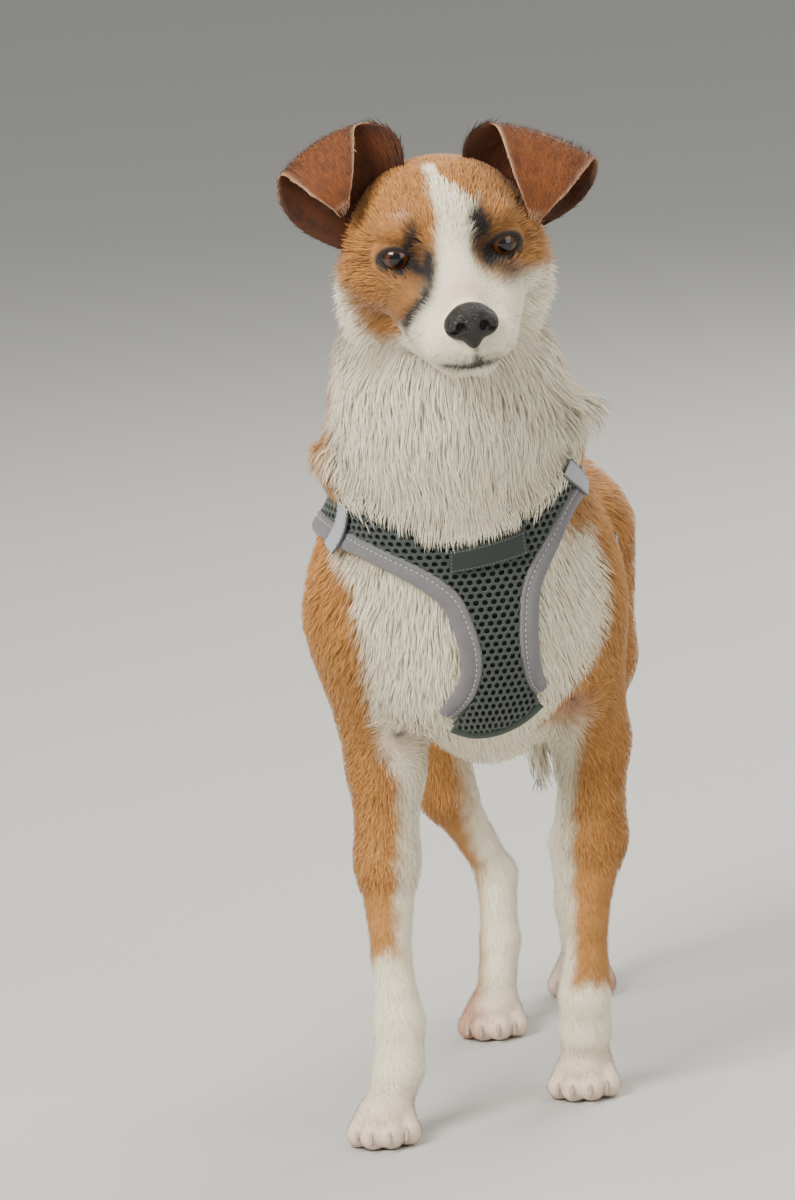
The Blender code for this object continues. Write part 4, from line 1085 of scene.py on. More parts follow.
def growTufts(roots, paths, out, lie, tone, rings):
    n = len(out)
    steps = {0: (0, 3), 1: (0, 2, 3), 2: (0, 1, 2, 3)}[rings]
    profile = (0.8, 1.0, 0.8, 0)                         # width at each station
    spin = luck.uniform(-coat["spin"], coat["spin"], n)[:, None]
    side = np.cross(lie, out)
    wide = side * np.cos(spin) + out * np.sin(spin)
    tall = out * np.cos(spin) - side * np.sin(spin)
    size = roots["width"][:, None] * luck.uniform(*coat["width"], (n, 1))
    roundness = coat["roundness"] if rings else coat["shortRoundness"]
    points, normals, along, across = [], [], [], []
    for at in steps[:-1]:
        half = size * profile[at] / 2
        for offset, u in ((wide * half, 1.0), (tall * half * coat["thinness"], 0.5),
                (-wide * half, 0.0)):
            points.append(paths[at] + offset)
            normals.append(out * roundness + unit(offset, 1e-9) * (1 - roundness))
            along.append(np.full(n, stations[at]))
            across.append(np.full(n, u))
    points.append(paths[3])
    normals.append(out)
    along.append(np.ones(n))
    across.append(np.full(n, 0.5))
    each = len(points)
    pattern = [(0, 1, 2)]
    for r in range(0, each - 4, 3):
        for a, b in ((r, r + 1), (r + 1, r + 2), (r + 2, r)):
            pattern += [(b, a, a + 3), (b, a + 3, b + 3)]
    last = each - 4
    pattern += [(last + b, last + a, each - 1) for a, b in ((0, 1), (1, 2), (2, 0))]
    triangles = (np.arange(n)[:, None, None] * each + np.array(pattern)).reshape(-1, 3)
    points, normals = [np.stack(v, 1).reshape(-1, 3) for v in (points, normals)]
    along, across = [np.stack(v, 1).ravel() for v in (along, across)]
    uv = np.repeat(unwrapOf(roots["points"], roots["region"], roots["place"]), each, axis=0)
    uv = uv + coat["patch"] * (np.stack([across, along], 1) - 0.5)
    tones = [along, np.repeat(tone, each), np.zeros(len(along)), np.ones(len(along))]
    return dict(points=points, triangles=triangles, normals=normals, uv=np.clip(uv, 0, 1),
            mark=np.repeat(roots["marks"], each, axis=0), strand=np.stack(tones, 1))


def aboveFloor(points):
    # what would pass through the floor flattens out on it
    low = np.minimum(points[:, 2], soleSoft)
    high = np.maximum(points[:, 2], soleSoft)
    points[:, 2] = high - soleSoft + soleSoft * np.exp(low / soleSoft - 1)
    return points


def coatPiece(name, parts, finish):
    whole = joined(parts, "triangles")
    triangles = whole["triangles"]
    mesh = meshOf(name, aboveFloor(placed(whole["points"])), triangles)
    layer = mesh.uv_layers.new(name="OFBake")
    layer.uv.foreach_set("vector", whole["uv"][triangles.ravel()].astype(np.float32).ravel())
    for key in ("mark", "strand"):
        paint(mesh, key, whole[key])
    normals = unit(whole["normals"])
    mesh.normals_split_custom_set_from_vertices(normals.astype(np.float32))
    mesh.materials.append(finish)
    addPiece(name, mesh)
    print(name, len(triangles), "triangles")


# which piece of coat each region's tufts belong to
def coatGroups(roots):
    y = roots["points"][:, 1]
    forward = ((roots["points"] - eyeMiddle) @ head)[:, 1]
    where = roots["region"]
    isHead, isNeck, isTrunk = [where == k for k in range(3)]
    groups = {
        "coat_face": isHead & (forward > -22), "coat_head": isHead & (forward <= -22),
        "coat_ears": where >= 8,
        "coat_neck_front": isNeck & (y < -50), "coat_neck_back": isNeck & (y >= -50),
        "coat_chest": isTrunk & (y < 70), "coat_back": isTrunk & (y >= 70) & (y < 190),
        "coat_rump": isTrunk & (y >= 190),
    }
    limbs = ("foreleg_right", "foreleg_left", "hindleg_right", "hindleg_left", "tail")
    for k, name in enumerate(limbs, 3):
        groups["coat_" + name] = where == k
    return groups


def noseForms():
    region[0] = "head"
    forms = [
        egg(onHead(1, 61, -22.5), (12.5, 9.5, 9.5), 3, turn=head),
        egg(onHead(1, 60, -17), (9.5, 9, 5), 3, turn=head),
        egg(onHead(1, 62, -30), (4.5, 6.5, 6), 3, turn=head),
    ]
    forms += [egg(onHead(1 + side * 8.5, 61, -23), (6, 8.5, 6.5), 3, turn=head)
            for side in (-1, 1)]
    # the nostrils with their slits, then the groove down to the lip
    for side in (-1, 1):
        forms += [egg(onHead(1 + side * 6.3, 71.5, -22.5), (2.9, 6, 3.2), 1.2, turn=head,
                    carve=True),
                limb(onHead(1 + side * 8.5, 69, -24.5), onHead(1 + side * 13.5, 64, -25),
                    1.3, 0.9, 1.0, carve=True)]
    forms.append(limb(onHead(1, 72.5, -27), onHead(1.5, 69, -36), 0.6, 0.8, 0.8, carve=True))
    return forms


# finishes
def step(tree, kind, inputs=None, **settings):
    # a node in any tree, with its inputs linked or set
    made = tree.nodes.new(kind)
    for key, value in settings.items():
        setattr(made, key, value)
    for key, value in (inputs or {}).items():
        if isinstance(value, bpy.types.NodeSocket):
            tree.links.new(value, made.inputs[key])
        else:
            made.inputs[key].default_value = value
    return made


def node(tree, kind, inputs=None, **settings):
    return step(tree, "ShaderNode" + kind, inputs, **settings)


def calc(tree, operation, a, b=0.0, clamp=False):
    return node(tree, "Math", {0: a, 1: b}, operation=operation, use_clamp=clamp).outputs[0]


def mix(tree, factor, a, b, how="MIX"):
    a, b = [c if isinstance(c, bpy.types.NodeSocket) else (*c, 1) for c in (a, b)]
    return node(tree, "Mix", {0: factor, 6: a, 7: b}, data_type="RGBA", blend_type=how).outputs[2]


def shaded(tree, colour, grey):
    # a colour made lighter and darker by a plain number
    grey = node(tree, "CombineColor", {0: grey, 1: grey, 2: grey}).outputs[0]
    return mix(tree, 1.0, colour, grey, "MULTIPLY")


def noise(tree, scale, detail=2.0, rough=0.5, where=None):
    where = where or node(tree, "TexCoord").outputs["Object"]
    return node(tree, "TexNoise", {
        "Vector": where, "Scale": scale, "Detail": detail, "Roughness": rough}).outputs["Fac"]


def channels(tree, name):
    # the piece's own attribute as red, green and blue, and its alpha
    source = node(tree, "Attribute", attribute_name=name)
    split = node(tree, "SeparateColor", {0: source.outputs["Color"]})
    return (*split.outputs[:3], source.outputs["Alpha"])


def newMaterial(name, roughness, **constants):
    material = bpy.data.materials.new(name)
    material.use_nodes = True
    tree = material.node_tree
    shader = tree.nodes["Principled BSDF"]
    shader.inputs["Roughness"].default_value = roughness
    for socket, value in constants.items():
        shader.inputs[socket.replace("_", " ")].default_value = value
    return material, tree, shader


def colourInto(tree, shader, colour):
    tree.links.new(colour, shader.inputs["Base Color"])


def bumpInto(tree, shader, height, strength, distance):
    bump = node(tree, "Bump", {"Height": height, "Strength": strength, "Distance": distance})
    tree.links.new(bump.outputs["Normal"], shader.inputs["Normal"])


def twoTone(name, roughness, dark, light, patches, grain=None, **constants):
    # patches: scale and detail of the tones; grain: scale, detail, strength, depth of the bump
    material, tree, shader = newMaterial(name, roughness, **constants)
    colourInto(tree, shader, mix(tree, noise(tree, *patches), dark, light))
    if grain:
        bumpInto(tree, shader, noise(tree, *grain[:2]), *grain[2:])
    return material


fur = dict(tan=((0.38, 0.130, 0.020), (0.93, 0.49, 0.145)),
        red=((0.10, 0.022, 0.004), (0.33, 0.086, 0.014)),
        white=((0.82, 0.72, 0.50), (0.97, 0.91, 0.74)), dark=(0.020, 0.016, 0.015),
        pink=(0.78, 0.50, 0.42), roughness=0.68, gloss=0.28, sheen=(0.12, 0.45),
        # how much each tuft and each patch of coat changes the tone
        tuftShare=0.55, patchShare=0.5, patchScale=55, bias=0.05,
        # painted shade deep in the coat: how light the root is drawn, how much lighter in white
        # hair, and how light the tip
        root=0.60, rootShadeWhite=0.30, tip=1.08,
        # the skin under the coat takes this painted root shade as if 0.45 of the way along a tuft
        # (skinStrand)
        skinGrain=900, skinBump=(0.5, 0.0006), skinStrand=(0.45, 0.5, 0, 1))


def furMaterial(name, onSkin):
    weight, rough = fur["sheen"]
    material, tree, shader = newMaterial(name, fur["roughness"], Sheen_Weight=weight,
            Sheen_Roughness=rough, Specular_IOR_Level=fur["gloss"])
    white, dark, pink, red = channels(tree, "mark")
    along, tuft = channels(tree, "strand")[:2]
    shade = calc(tree, "ADD", calc(tree, "MULTIPLY", tuft, fur["tuftShare"]),
            calc(tree, "MULTIPLY", noise(tree, fur["patchScale"], 3), fur["patchShare"]))
    shade = calc(tree, "SUBTRACT", shade, fur["bias"], clamp=True)
    colour = mix(tree, red, mix(tree, shade, *fur["tan"]), mix(tree, shade, *fur["red"]))
    colour = mix(tree, white, colour, mix(tree, shade, *fur["white"]))
    colour = mix(tree, dark, colour, fur["dark"])
    colour = mix(tree, pink, colour, fur["pink"])
    # painted shade: hair is drawn darker towards its root, as the shade deep in the coat, and
    # lighter at its tip
    root = calc(tree, "ADD", fur["root"], calc(tree, "MULTIPLY", white, fur["rootShadeWhite"]))
    depth = node(tree, "MapRange", {0: along, 3: root, 4: fur["tip"]}).outputs[0]
    colourInto(tree, shader, shaded(tree, colour, depth))
    if onSkin:
        bumpInto(tree, shader, noise(tree, fur["skinGrain"], 3, 0.7), *fur["skinBump"])
    return material


def addSkin():
    mesh = meshOf("skin", aboveFloor(placed(skin["points"])), skin["faces"])
    paint(mesh, "mark", skin["marks"])
    paint(mesh, "strand", np.tile(fur["skinStrand"], (len(skin["points"]), 1)))
    mesh.materials.append(furMaterial("skin_fur", True))
    flesh = ["head", "lower_jaw", "neck", "chest", "loin", "rump", "tail", "ear_left", "ear_right"]
    flesh += [part + "_" + side for part in ("foreleg", "forepaw", "thigh", "shank", "hindfoot")
            for side in ("left", "right")]
    addPiece("skin", mesh, flesh)


def addCoat():
    roots = clearOfTrim(pickRoots())
    paths, out, lie, tone, ringsFor = tuftPaths(roots)
    follow = roots["follow"]
    roots["marks"][follow] = marksAt(roots["points"][follow])
    finish = furMaterial("coat_fur", False)
    print("tufts:", len(out), "with rings", np.bincount(ringsFor))
    for name, mine in coatGroups(roots).items():
        parts = []
        for rings in (0, 1, 2):
            pick = mine & (ringsFor == rings)
            if pick.any():
                parts.append(growTufts(kept(roots, pick), [p[pick] for p in paths], out[pick],
                            lie[pick], tone[pick], rings))
        coatPiece(name, parts, finish)


addSkin()
addCoat()
print("coat grown")


def meshFrom(name, shape, finish, smooth=True):
    mesh = bpy.data.meshes.new(name)
    shape.to_mesh(mesh)
    shape.free()
    if smooth:
        mesh.shade_smooth()
    mesh.materials.append(finish)
    return mesh


# eyes: rings of colour from the middle of the pupil out, by share of the widest angle
iris = dict(widest=1.2, roughness=0.10, coat=(0.7, 0.02), gloss=0.2, flecks=900.0,
        fleckTone=(0.7, 1.35),
        stops=((0.0, (0.002, 0.002, 0.003)), (0.27, (0.002, 0.002, 0.003)),
            (0.32, (0.025, 0.008, 0.002)), (0.40, (0.075, 0.024, 0.005)),
            (0.52, (0.050, 0.016, 0.004)), (0.60, (0.012, 0.005, 0.003)),
            (0.68, (0.010, 0.007, 0.006)), (0.80, (0.08, 0.055, 0.04))))


def eyeMaterial(name, centre, gaze):
    weight, rough = iris["coat"]
    material, tree, shader = newMaterial("eye_%s_wet" % name, iris["roughness"],
            Coat_Weight=weight, Coat_Roughness=rough, Specular_IOR_Level=iris["gloss"])

    def vector(operation, a, b=(0, 0, 0)):
        return node(tree, "VectorMath", {0: a, 1: b}, operation=operation).outputs

    place = node(tree, "TexCoord").outputs["Object"]
    local = vector("SUBTRACT", place, tuple(centre))[0]
    facing = vector("DOT_PRODUCT", vector("NORMALIZE", local)[0], tuple(gaze))["Value"]
    angle = calc(tree, "DIVIDE", calc(tree, "ARCCOSINE", facing), iris["widest"])
    ring = node(tree, "ValToRGB", {0: angle})
    elements = ring.color_ramp.elements
    while len(elements) < len(iris["stops"]):
        elements.new(0.5)
    for element, (at, colour) in zip(elements, iris["stops"]):
        element.position = at
        element.color = (*colour, 1)
    low, high = iris["fleckTone"]
    flecks = noise(tree, iris["flecks"], 3.0, where=local)
    flecks = node(tree, "MapRange", {0: flecks, 3: low, 4: high}).outputs[0]
    colourInto(tree, shader, shaded(tree, ring.outputs["Color"], flecks))
    return material


def addEyes():
    across, ahead, rise = eye["gaze"]
    around, along = eye["segments"]
    for name, side in bothSides:
        centre = placed(eyeCentre(side))
        gaze = Vector(unit(headLie(side * across, ahead, rise)))
        ball = bmesh.new()
        bmesh.ops.create_uvsphere(ball, u_segments=around, v_segments=along,
                radius=eye["radius"] * mm)
        bmesh.ops.rotate(ball, verts=ball.verts, matrix=gaze.to_track_quat("Z", "Y").to_matrix())
        start = eye["corneaStart"]
        for v in ball.verts:
            # the cornea stands a little proud
            front = max(0, (v.co.normalized().dot(gaze) - start) / (1 - start))
            v.co *= 1 + eye["corneaRise"] * front ** 1.5
        bmesh.ops.translate(ball, verts=ball.verts, vec=Vector(centre))
        mesh = meshFrom("eyeball_" + name, ball, eyeMaterial(name, centre, gaze))
        addPiece("eyeball_" + name, mesh, ["eye_" + name])


addEyes()
print("eyes set")


nose = dict(cell=0.55, margin=2, roughness=0.42, gloss=0.4, pebbles=850.0, steep=4.0,
        dark=(0.007, 0.006, 0.006), light=(0.028, 0.024, 0.023), patches=(160, 3),
        groove=(0.004, 0.003, 0.003), bump=(0.6, 0.0004))


def addNose():
    forms = noseForms()
    low = np.min([f["low"] for f in forms], axis=0) - nose["margin"]
    high = np.max([f["high"] for f in forms], axis=0) + nose["margin"]
    axes = [np.arange(a, b, nose["cell"]) for a, b in zip(low, high)]
    points, faces = netSurface(forms, axes, 0)[:2]
    mesh = meshOf("nose_pad", placed(points), faces)
    material, tree, shader = newMaterial("nose_skin", nose["roughness"],
            Specular_IOR_Level=nose["gloss"])
    place = node(tree, "TexCoord").outputs["Object"]
    cells = node(tree, "TexVoronoi", {"Vector": place, "Scale": nose["pebbles"]},
            feature="DISTANCE_TO_EDGE").outputs["Distance"]
    pebble = calc(tree, "MULTIPLY", cells, nose["steep"], clamp=True)
    tone = mix(tree, noise(tree, *nose["patches"]), nose["dark"], nose["light"])
    # the grooves between the pebbles are drawn darker, as painted shade
    colourInto(tree, shader, mix(tree, pebble, nose["groove"], tone))
    bumpInto(tree, shader, pebble, *nose["bump"])
    mesh.materials.append(material)
    addPiece("nose_pad", mesh, ["nose"])


addNose()
print("nose set")


# what the dog wears; first the trees that repeat a thing
def newTree(name, sockets):
    tree = bpy.data.node_groups.new(name, "GeometryNodeTree")
    for way in ("INPUT", "OUTPUT"):
        tree.interface.new_socket(name="Geometry", in_out=way, socket_type="NodeSocketGeometry")
    for socketName, kind, value in sockets:
        made = tree.interface.new_socket(name=socketName, in_out="INPUT",
                socket_type="NodeSocket" + kind)
        made.default_value = value
    return tree, tree.nodes.new("NodeGroupInput").outputs, tree.nodes.new("NodeGroupOutput").inputs


def finishTree(tree, geometry, finish, out):
    real = step(tree, "GeometryNodeRealizeInstances", {"Geometry": geometry})
    dressed = step(tree, "GeometryNodeSetMaterial", {
        "Geometry": real.outputs[0], "Material": finish})
    tree.links.new(dressed.outputs[0], out[0])
    return tree


def grownFrom(name, mesh, tree, values=None):
    # runs a node tree on a mesh and keeps the plain result
    holder = bpy.data.objects.new(name + "_guide", mesh)
    bpy.context.collection.objects.link(holder)
    modifier = holder.modifiers.new("grow", "NODES")
    modifier.node_group = tree
    for socket in tree.interface.items_tree:
        if socket.in_out == "INPUT" and socket.name in (values or {}):
            modifier[socket.identifier] = values[socket.name]
    graph = bpy.context.evaluated_depsgraph_get()
    graph.update()
    result = bpy.data.meshes.new_from_object(holder.evaluated_get(graph))
    result.name = name
    holder.modifiers.clear()
    bpy.data.objects.remove(holder)
    return result


# the net: six-sided holes in rows, each row half a pitch along; sizes in metres
netRound = dict(x=10.0, radius=80.0, middle=305.0, pitch=0.0047, rowPitch=0.0039,
        columns=57, rows=51, hole=0.70)


def netTree(finish):
    tree, given, out = newTree("vest_net", (
        ("Pitch", "Float", netRound["pitch"]), ("Row Pitch", "Float", netRound["rowPitch"]),
        ("Columns", "Int", netRound["columns"]), ("Rows", "Int", netRound["rows"]),
        ("Hole", "Float", netRound["hole"])))
    columns, rows, pitch = given["Columns"], given["Rows"], given["Pitch"]
    grid = step(tree, "GeometryNodeMeshGrid", {
        "Size X": calc(tree, "MULTIPLY", pitch, columns),
        "Size Y": calc(tree, "MULTIPLY", given["Row Pitch"], rows),
        "Vertices X": columns, "Vertices Y": rows})
    odd = step(tree, "GeometryNodeInputIndex").outputs[0]
    for divisor in (rows, 2):
        odd = step(tree, "FunctionNodeIntegerMath", {0: odd, 1: divisor},
                operation="MODULO").outputs[0]
    slide = calc(tree, "MULTIPLY", calc(tree, "MULTIPLY", pitch, 0.5), odd)
    offset = node(tree, "CombineXYZ", {0: slide}).outputs[0]
    moved = step(tree, "GeometryNodeSetPosition",
            {"Geometry": grid.outputs["Mesh"], "Offset": offset})
    tri = step(tree, "GeometryNodeTriangulate", {"Mesh": moved.outputs[0]})
    cells = step(tree, "GeometryNodeDualMesh", {"Mesh": tri.outputs[0]})
    opened = step(tree, "GeometryNodeExtrudeMesh", {
        "Mesh": cells.outputs[0], "Offset Scale": 0.0, "Individual": True}, mode="FACES")
    shrunk = step(tree, "GeometryNodeScaleElements", {
        "Geometry": opened.outputs["Mesh"], "Selection": opened.outputs["Top"],
        "Scale": given["Hole"]}, domain="FACE")
    holed = step(tree, "GeometryNodeDeleteGeometry", {
        "Geometry": shrunk.outputs[0], "Selection": opened.outputs["Top"]}, domain="FACE")
    return finishTree(tree, holed.outputs[0], finish, out)


def stitchTree(finish):
    # thread lies as small beads along a path
    tree, given, out = newTree("stitch_row", (
        ("Spacing", "Float", 0.0033), ("Length", "Float", 0.0011), ("Thread", "Float", 0.00033)))
    path = step(tree, "GeometryNodeMeshToCurve", {"Mesh": given["Geometry"]})
    spots = step(tree, "GeometryNodeCurveToPoints", {
        "Curve": path.outputs[0], "Length": given["Spacing"]}, mode="LENGTH")
    bead = step(tree, "GeometryNodeMeshUVSphere", {"Segments": 6, "Rings": 5, "Radius": 1.0})
    thread = given["Thread"]
    sizes = node(tree, "CombineXYZ", {0: thread, 1: thread, 2: given["Length"]}).outputs[0]
    turn = step(tree, "FunctionNodeAlignEulerToVector", {"Vector": spots.outputs["Tangent"]},
            axis="Z")
    beads = step(tree, "GeometryNodeInstanceOnPoints", {
        "Points": spots.outputs["Points"], "Instance": bead.outputs["Mesh"],
        "Rotation": turn.outputs[0], "Scale": sizes})
    smooth = step(tree, "GeometryNodeSetShadeSmooth", {"Geometry": beads.outputs[0]})
    return finishTree(tree, smooth.outputs[0], finish, out)


def pathMesh(name, paths):
    mesh = bpy.data.meshes.new(name)
    points, edges = [], []
    for path in paths:
        start = len(points)
        points += [tuple(p) for p in placed(np.asarray(path))]
        edges += [(start + i, start + i + 1) for i in range(len(path) - 1)]
    mesh.from_pydata(points, edges, [])
    return mesh


# woven finishes: dark and light thread, mm from thread to thread both ways, roughness
cloths = dict(
    spacer_net=((0.011, 0.017, 0.015), (0.048, 0.062, 0.057), (0.55, 0.55), 0.62),
    vest_backing=((0.006, 0.008, 0.008), (0.018, 0.022, 0.021), (0.9, 0.9), 0.9),
    binding_tape=((0.09, 0.085, 0.094), (0.20, 0.19, 0.206), (0.75, 0.9), 0.7),
    hem_tape=((0.012, 0.022, 0.016), (0.045, 0.065, 0.05), (0.7, 0.9), 0.75),
    tab_tape=((0.25, 0.265, 0.285), (0.42, 0.445, 0.475), (0.8, 0.8), 0.6),
    strap_webbing=((0.14, 0.132, 0.145), (0.29, 0.275, 0.298), (1.5, 1.5), 0.65),
    label_weave=((0.007, 0.011, 0.009), (0.022, 0.031, 0.026), (0.5, 0.5), 0.6),
    seam_thread=((0.34, 0.33, 0.35), (0.55, 0.54, 0.56), (0.5, 0.5), 0.55),
    label_thread=((0.06, 0.08, 0.07), (0.12, 0.145, 0.13), (0.5, 0.5), 0.6),
)
clothSheen = dict(spacer_net=0.35)
edgeLines = dict(tab_tape=(0.07, 0.074, 0.08))      # colour of the lines along both edges


def clothMaterial(name):
    # woven from the piece's own measure: red runs along in mm, green across, blue edge to edge
    dark, light, pitches, roughness = cloths[name]
    material, tree, shader = newMaterial(name, roughness, Sheen_Roughness=0.5,
            Sheen_Weight=clothSheen.get(name, 0.2), Specular_IOR_Level=0.3)
    along, across, side = channels(tree, "run")[:3]
    warp, weft = [calc(tree, "SINE", calc(tree, "MULTIPLY", run, 2 * pi / pitch))
            for run, pitch in zip((along, across), pitches)]
    woven = calc(tree, "MULTIPLY", warp, weft)
    thread = calc(tree, "ADD", calc(tree, "MULTIPLY", woven, 0.5), 0.5)
    worn = noise(tree, 120, 4, 0.65)
    shade = calc(tree, "ADD", calc(tree, "MULTIPLY", thread, 0.45),
            calc(tree, "MULTIPLY", worn, 0.6), clamp=True)
    colour = mix(tree, shade, dark, light)
    if name in edgeLines:
        edge = calc(tree, "ABSOLUTE", calc(tree, "SUBTRACT", side, 0.5))
        colour = mix(tree, calc(tree, "GREATER_THAN", edge, 0.42), colour, edgeLines[name])
    colourInto(tree, shader, colour)
    bumpInto(tree, shader, thread, 0.5, 0.0003)
    return material


finishes = {name: clothMaterial(name) for name in cloths}
finishes["plastic"] = twoTone("moulded_plastic", 0.42, (0.010, 0.010, 0.011),
        (0.028, 0.028, 0.030), (70, 3), (1400, 2, 0.25, 0.0002))
finishes["steel"] = twoTone("ring_steel", 0.24, (0.44, 0.44, 0.45), (0.66, 0.66, 0.67),
        (260, 4), (900, 3, 0.2, 0.0002), Metallic=1.0)


def crowned(name, under, out, heights, cloth, replaced=()):
    # a closed tape whose height across is given; its own measure goes with it for the weave
    rows, columns = under.shape[:2]
    heights = np.interp(np.linspace(0, 1, columns), np.linspace(0, 1, len(heights)), heights)
    points, faces = shellOf(under, under + out * heights[None, :, None])
    middle = under[:, columns // 2]
    along = np.concatenate([[0], np.cumsum(np.linalg.norm(np.diff(middle, axis=0), axis=1))])
    across = np.linalg.norm(under[rows // 2] - under[rows // 2, 0], axis=1)
    share = np.linspace(0, 1, columns)
    run = np.stack(np.broadcast_arrays(along[:, None], across[None], share[None], 1.0), -1)
    top = faces[faces[:, 0] >= rows * columns]
    up = np.tile(out.reshape(-1, 3), (2, 1))[top].mean(1)
    if (facingOf(points, top) * up).sum() < 0:
        faces = faces[:, ::-1]
    mesh = meshOf(name, placed(points), faces)
    paint(mesh, "run", np.tile(run.reshape(-1, 4), (2, 1)))
    mesh.materials.append(finishes[cloth])
    return addPiece(name, mesh, replaced)


def spreadAcross(middle, aside, spread, lift):
    return laid(middle[:, None] + aside[:, None] * spread[None, :, None], lift)


def strip(guides, width, lift, count, across=9):
    middle, out = laid(curveThrough(guides, count), lift)
    aside = unit(np.cross(out, np.gradient(middle, axis=0)))
    return spreadAcross(middle, aside, np.linspace(-width / 2, width / 2, across), lift)


def edgeTape(edge, inside, width, lift, across=9):
    # a tape from just inside an edge of the vest to a seam's width past it
    out = laid(edge, lift)[1]
    away = np.cross(out, np.gradient(edge, axis=0))
    away *= np.sign((away * (edge - inside)).sum())
    return spreadAcross(edge, unit(away), np.linspace(-0.8, vest["seam"] + width, across), lift)


def insidePolygon(points, ring):
    inside = np.zeros(len(points), bool)
    for (x1, y1), (x2, y2) in zip(ring, np.roll(ring, -1, axis=0)):
        crosses = (y1 > points[:, 1]) != (y2 > points[:, 1])
        at = x1 + (points[:, 1] - y1) * (x2 - x1) / (y2 - y1 + 1e-12)
        inside ^= crosses & (points[:, 0] < at)
    return inside


def unrolled(points):
    # the vest unrolled round the chest: arc length across, height up
    angle = np.arctan2(points[..., 0] - netRound["x"], -points[..., 1])
    return np.stack([angle * netRound["radius"], points[..., 2] - netRound["middle"]], -1)


def addNet():
    finish = finishes["spacer_net"]
    flat = grownFrom("vest_net", bpy.data.meshes.new("net_seed"), netTree(finish))
    p = panelGrid
    ring = unrolled(np.concatenate([p[0], p[1:, -1], p[-1, -2::-1], p[-2:0:-1, 0]]))
    # the flat net is cut to the vest's outline
    shape = bmesh.new()
    shape.from_mesh(flat)
    bmesh.ops.remove_doubles(shape, verts=shape.verts, dist=vest["weld"])
    centres = np.array([f.calc_center_median()[:2] for f in shape.faces]) / mm
    outside = [f for f, k in zip(shape.faces[:], insidePolygon(centres, ring)) if not k]
    bmesh.ops.delete(shape, geom=outside, context="FACES")
    loose = [v for v in shape.verts if not v.link_faces]
    bmesh.ops.delete(shape, geom=loose, context="VERTS")
    # its points start near the cloth itself, then settle on the coat
    points = np.array([v.co[:2] for v in shape.verts]) / mm
    angle = points[:, 0] / netRound["radius"]
    flatPanel = unrolled(p).reshape(-1, 2)
    finder = KDTree(len(flatPanel))
    for i, (a, b) in enumerate(flatPanel):
        finder.insert((a, b, 0), i)
    finder.balance()
    fromAxis = np.hypot(*(p.reshape(-1, 3)[:, :2] - (netRound["x"], 0)).T)
    depth = []
    for a, b in points:
        near = finder.find_n((a, b, 0), 4)
        weights = np.array([1 / (far + 0.3) for _, _, far in near])
        depth.append((fromAxis[[k for _, k, _ in near]] * weights).sum() / weights.sum())
    depth = np.array(depth)
    start = np.stack([netRound["x"] + depth * np.sin(angle), -depth * np.cos(angle),
                points[:, 1] + netRound["middle"]], 1)
    on = laid(start, vest["netLow"] + vest["netThick"] / 2)[0]
    for v, place in zip(shape.verts, placed(on)):
        v.co = place
    bmesh.ops.recalc_face_normals(shape, faces=shape.faces)
    mesh = meshFrom("vest_net", shape, finish, smooth=False)
    net = addPiece("vest_net", mesh, ["vest_panel"])
    solid = net.modifiers.new("thick", "SOLIDIFY")
    solid.thickness = vest["netThick"] * mm
    solid.offset = 0
    smooth = net.modifiers.new("round", "SUBSURF")
    smooth.levels = smooth.render_levels = 1
    return net


def seatOn(place, along):
    # a place on the coat's tips that faces out, turned along the strap
    on, out = settle(np.array([place], float), outerForms, 0.0, 0, rounds=6)
    out = Vector(out[0])
    along = Vector(along)
    along = (along - out * along.dot(out)).normalized()
    turn = Matrix((along.cross(out), along, out)).transposed()
    return Matrix.Translation(Vector(placed(on[0]))) @ turn.to_4x4()


def rounded(shape, centre, size, bevel, where):
    made = bmesh.ops.create_cube(shape, size=1.0)["verts"]
    bmesh.ops.scale(shape, verts=made, vec=Vector(size) * mm)
    edges = list({e for v in made for e in v.link_edges})
    made = bmesh.ops.bevel(shape, geom=edges, offset=bevel * mm, segments=4, profile=0.5,
            affect="EDGES")["verts"]
    bmesh.ops.translate(shape, verts=made, vec=Vector(centre) * mm)
    bmesh.ops.transform(shape, matrix=where, verts=made)


def finished(name, shape, cloth, replaced):
    bmesh.ops.recalc_face_normals(shape, faces=shape.faces)
    return addPiece(name, meshFrom(name, shape, finishes[cloth]), replaced)


ringMake = dict(wide=18.0, deep=13.0, wire=1.4, sides=14, segments=56, under=-1.0, apart=29)
buckle = dict(socket=(20.0, 26.0, 7.0), latch=(15.0, 22.0, 5.4), lift=1.8, joint=3.0, bevel=1.7,
        ribs=4, ribStep=2.0, ribOff=3.5, rib=(0.9, 0.55, 0.6), ribBevel=0.25)
slider = dict(size=(27.0, 15.0, 2.2), bar=3.0, bevel=0.9)
keeper = dict(centre=(-0.5, 2.0), radii=(3.3, 2.45), half=4.9, sides=32, sections=9)
yokeTape = dict(width=16, count=30, crown=(0.8, 1.5, 1.6, 1.6, 1.6, 1.6, 1.6, 1.5, 0.8))
strapTop = vest["lift"] + vest["strapThick"] + 0.6


def wireLoop(shape, path, radius, sides):
    # round wire along a closed path of points in metres
    path = np.asarray(path, float)
    ahead = unit(np.roll(path, -1, axis=0) - np.roll(path, 1, axis=0))
    flat = unit(np.cross(path[len(path) // 3] - path[0], path[2 * len(path) // 3] - path[0]))
    turns = [2 * pi * k / sides for k in range(sides)]
    sections = [[shape.verts.new(p + radius * (cos(t) * a + sin(t) * flat)) for t in turns]
            for p, a in zip(path, np.cross(ahead, flat))]
    bridged(shape, sections + sections[:1])


def bridged(shape, sections):
    for one, two in zip(sections, sections[1:]):
        for k in range(len(one)):
            after = (k + 1) % len(one)
            shape.faces.new((one[k], one[after], two[after], two[k]))


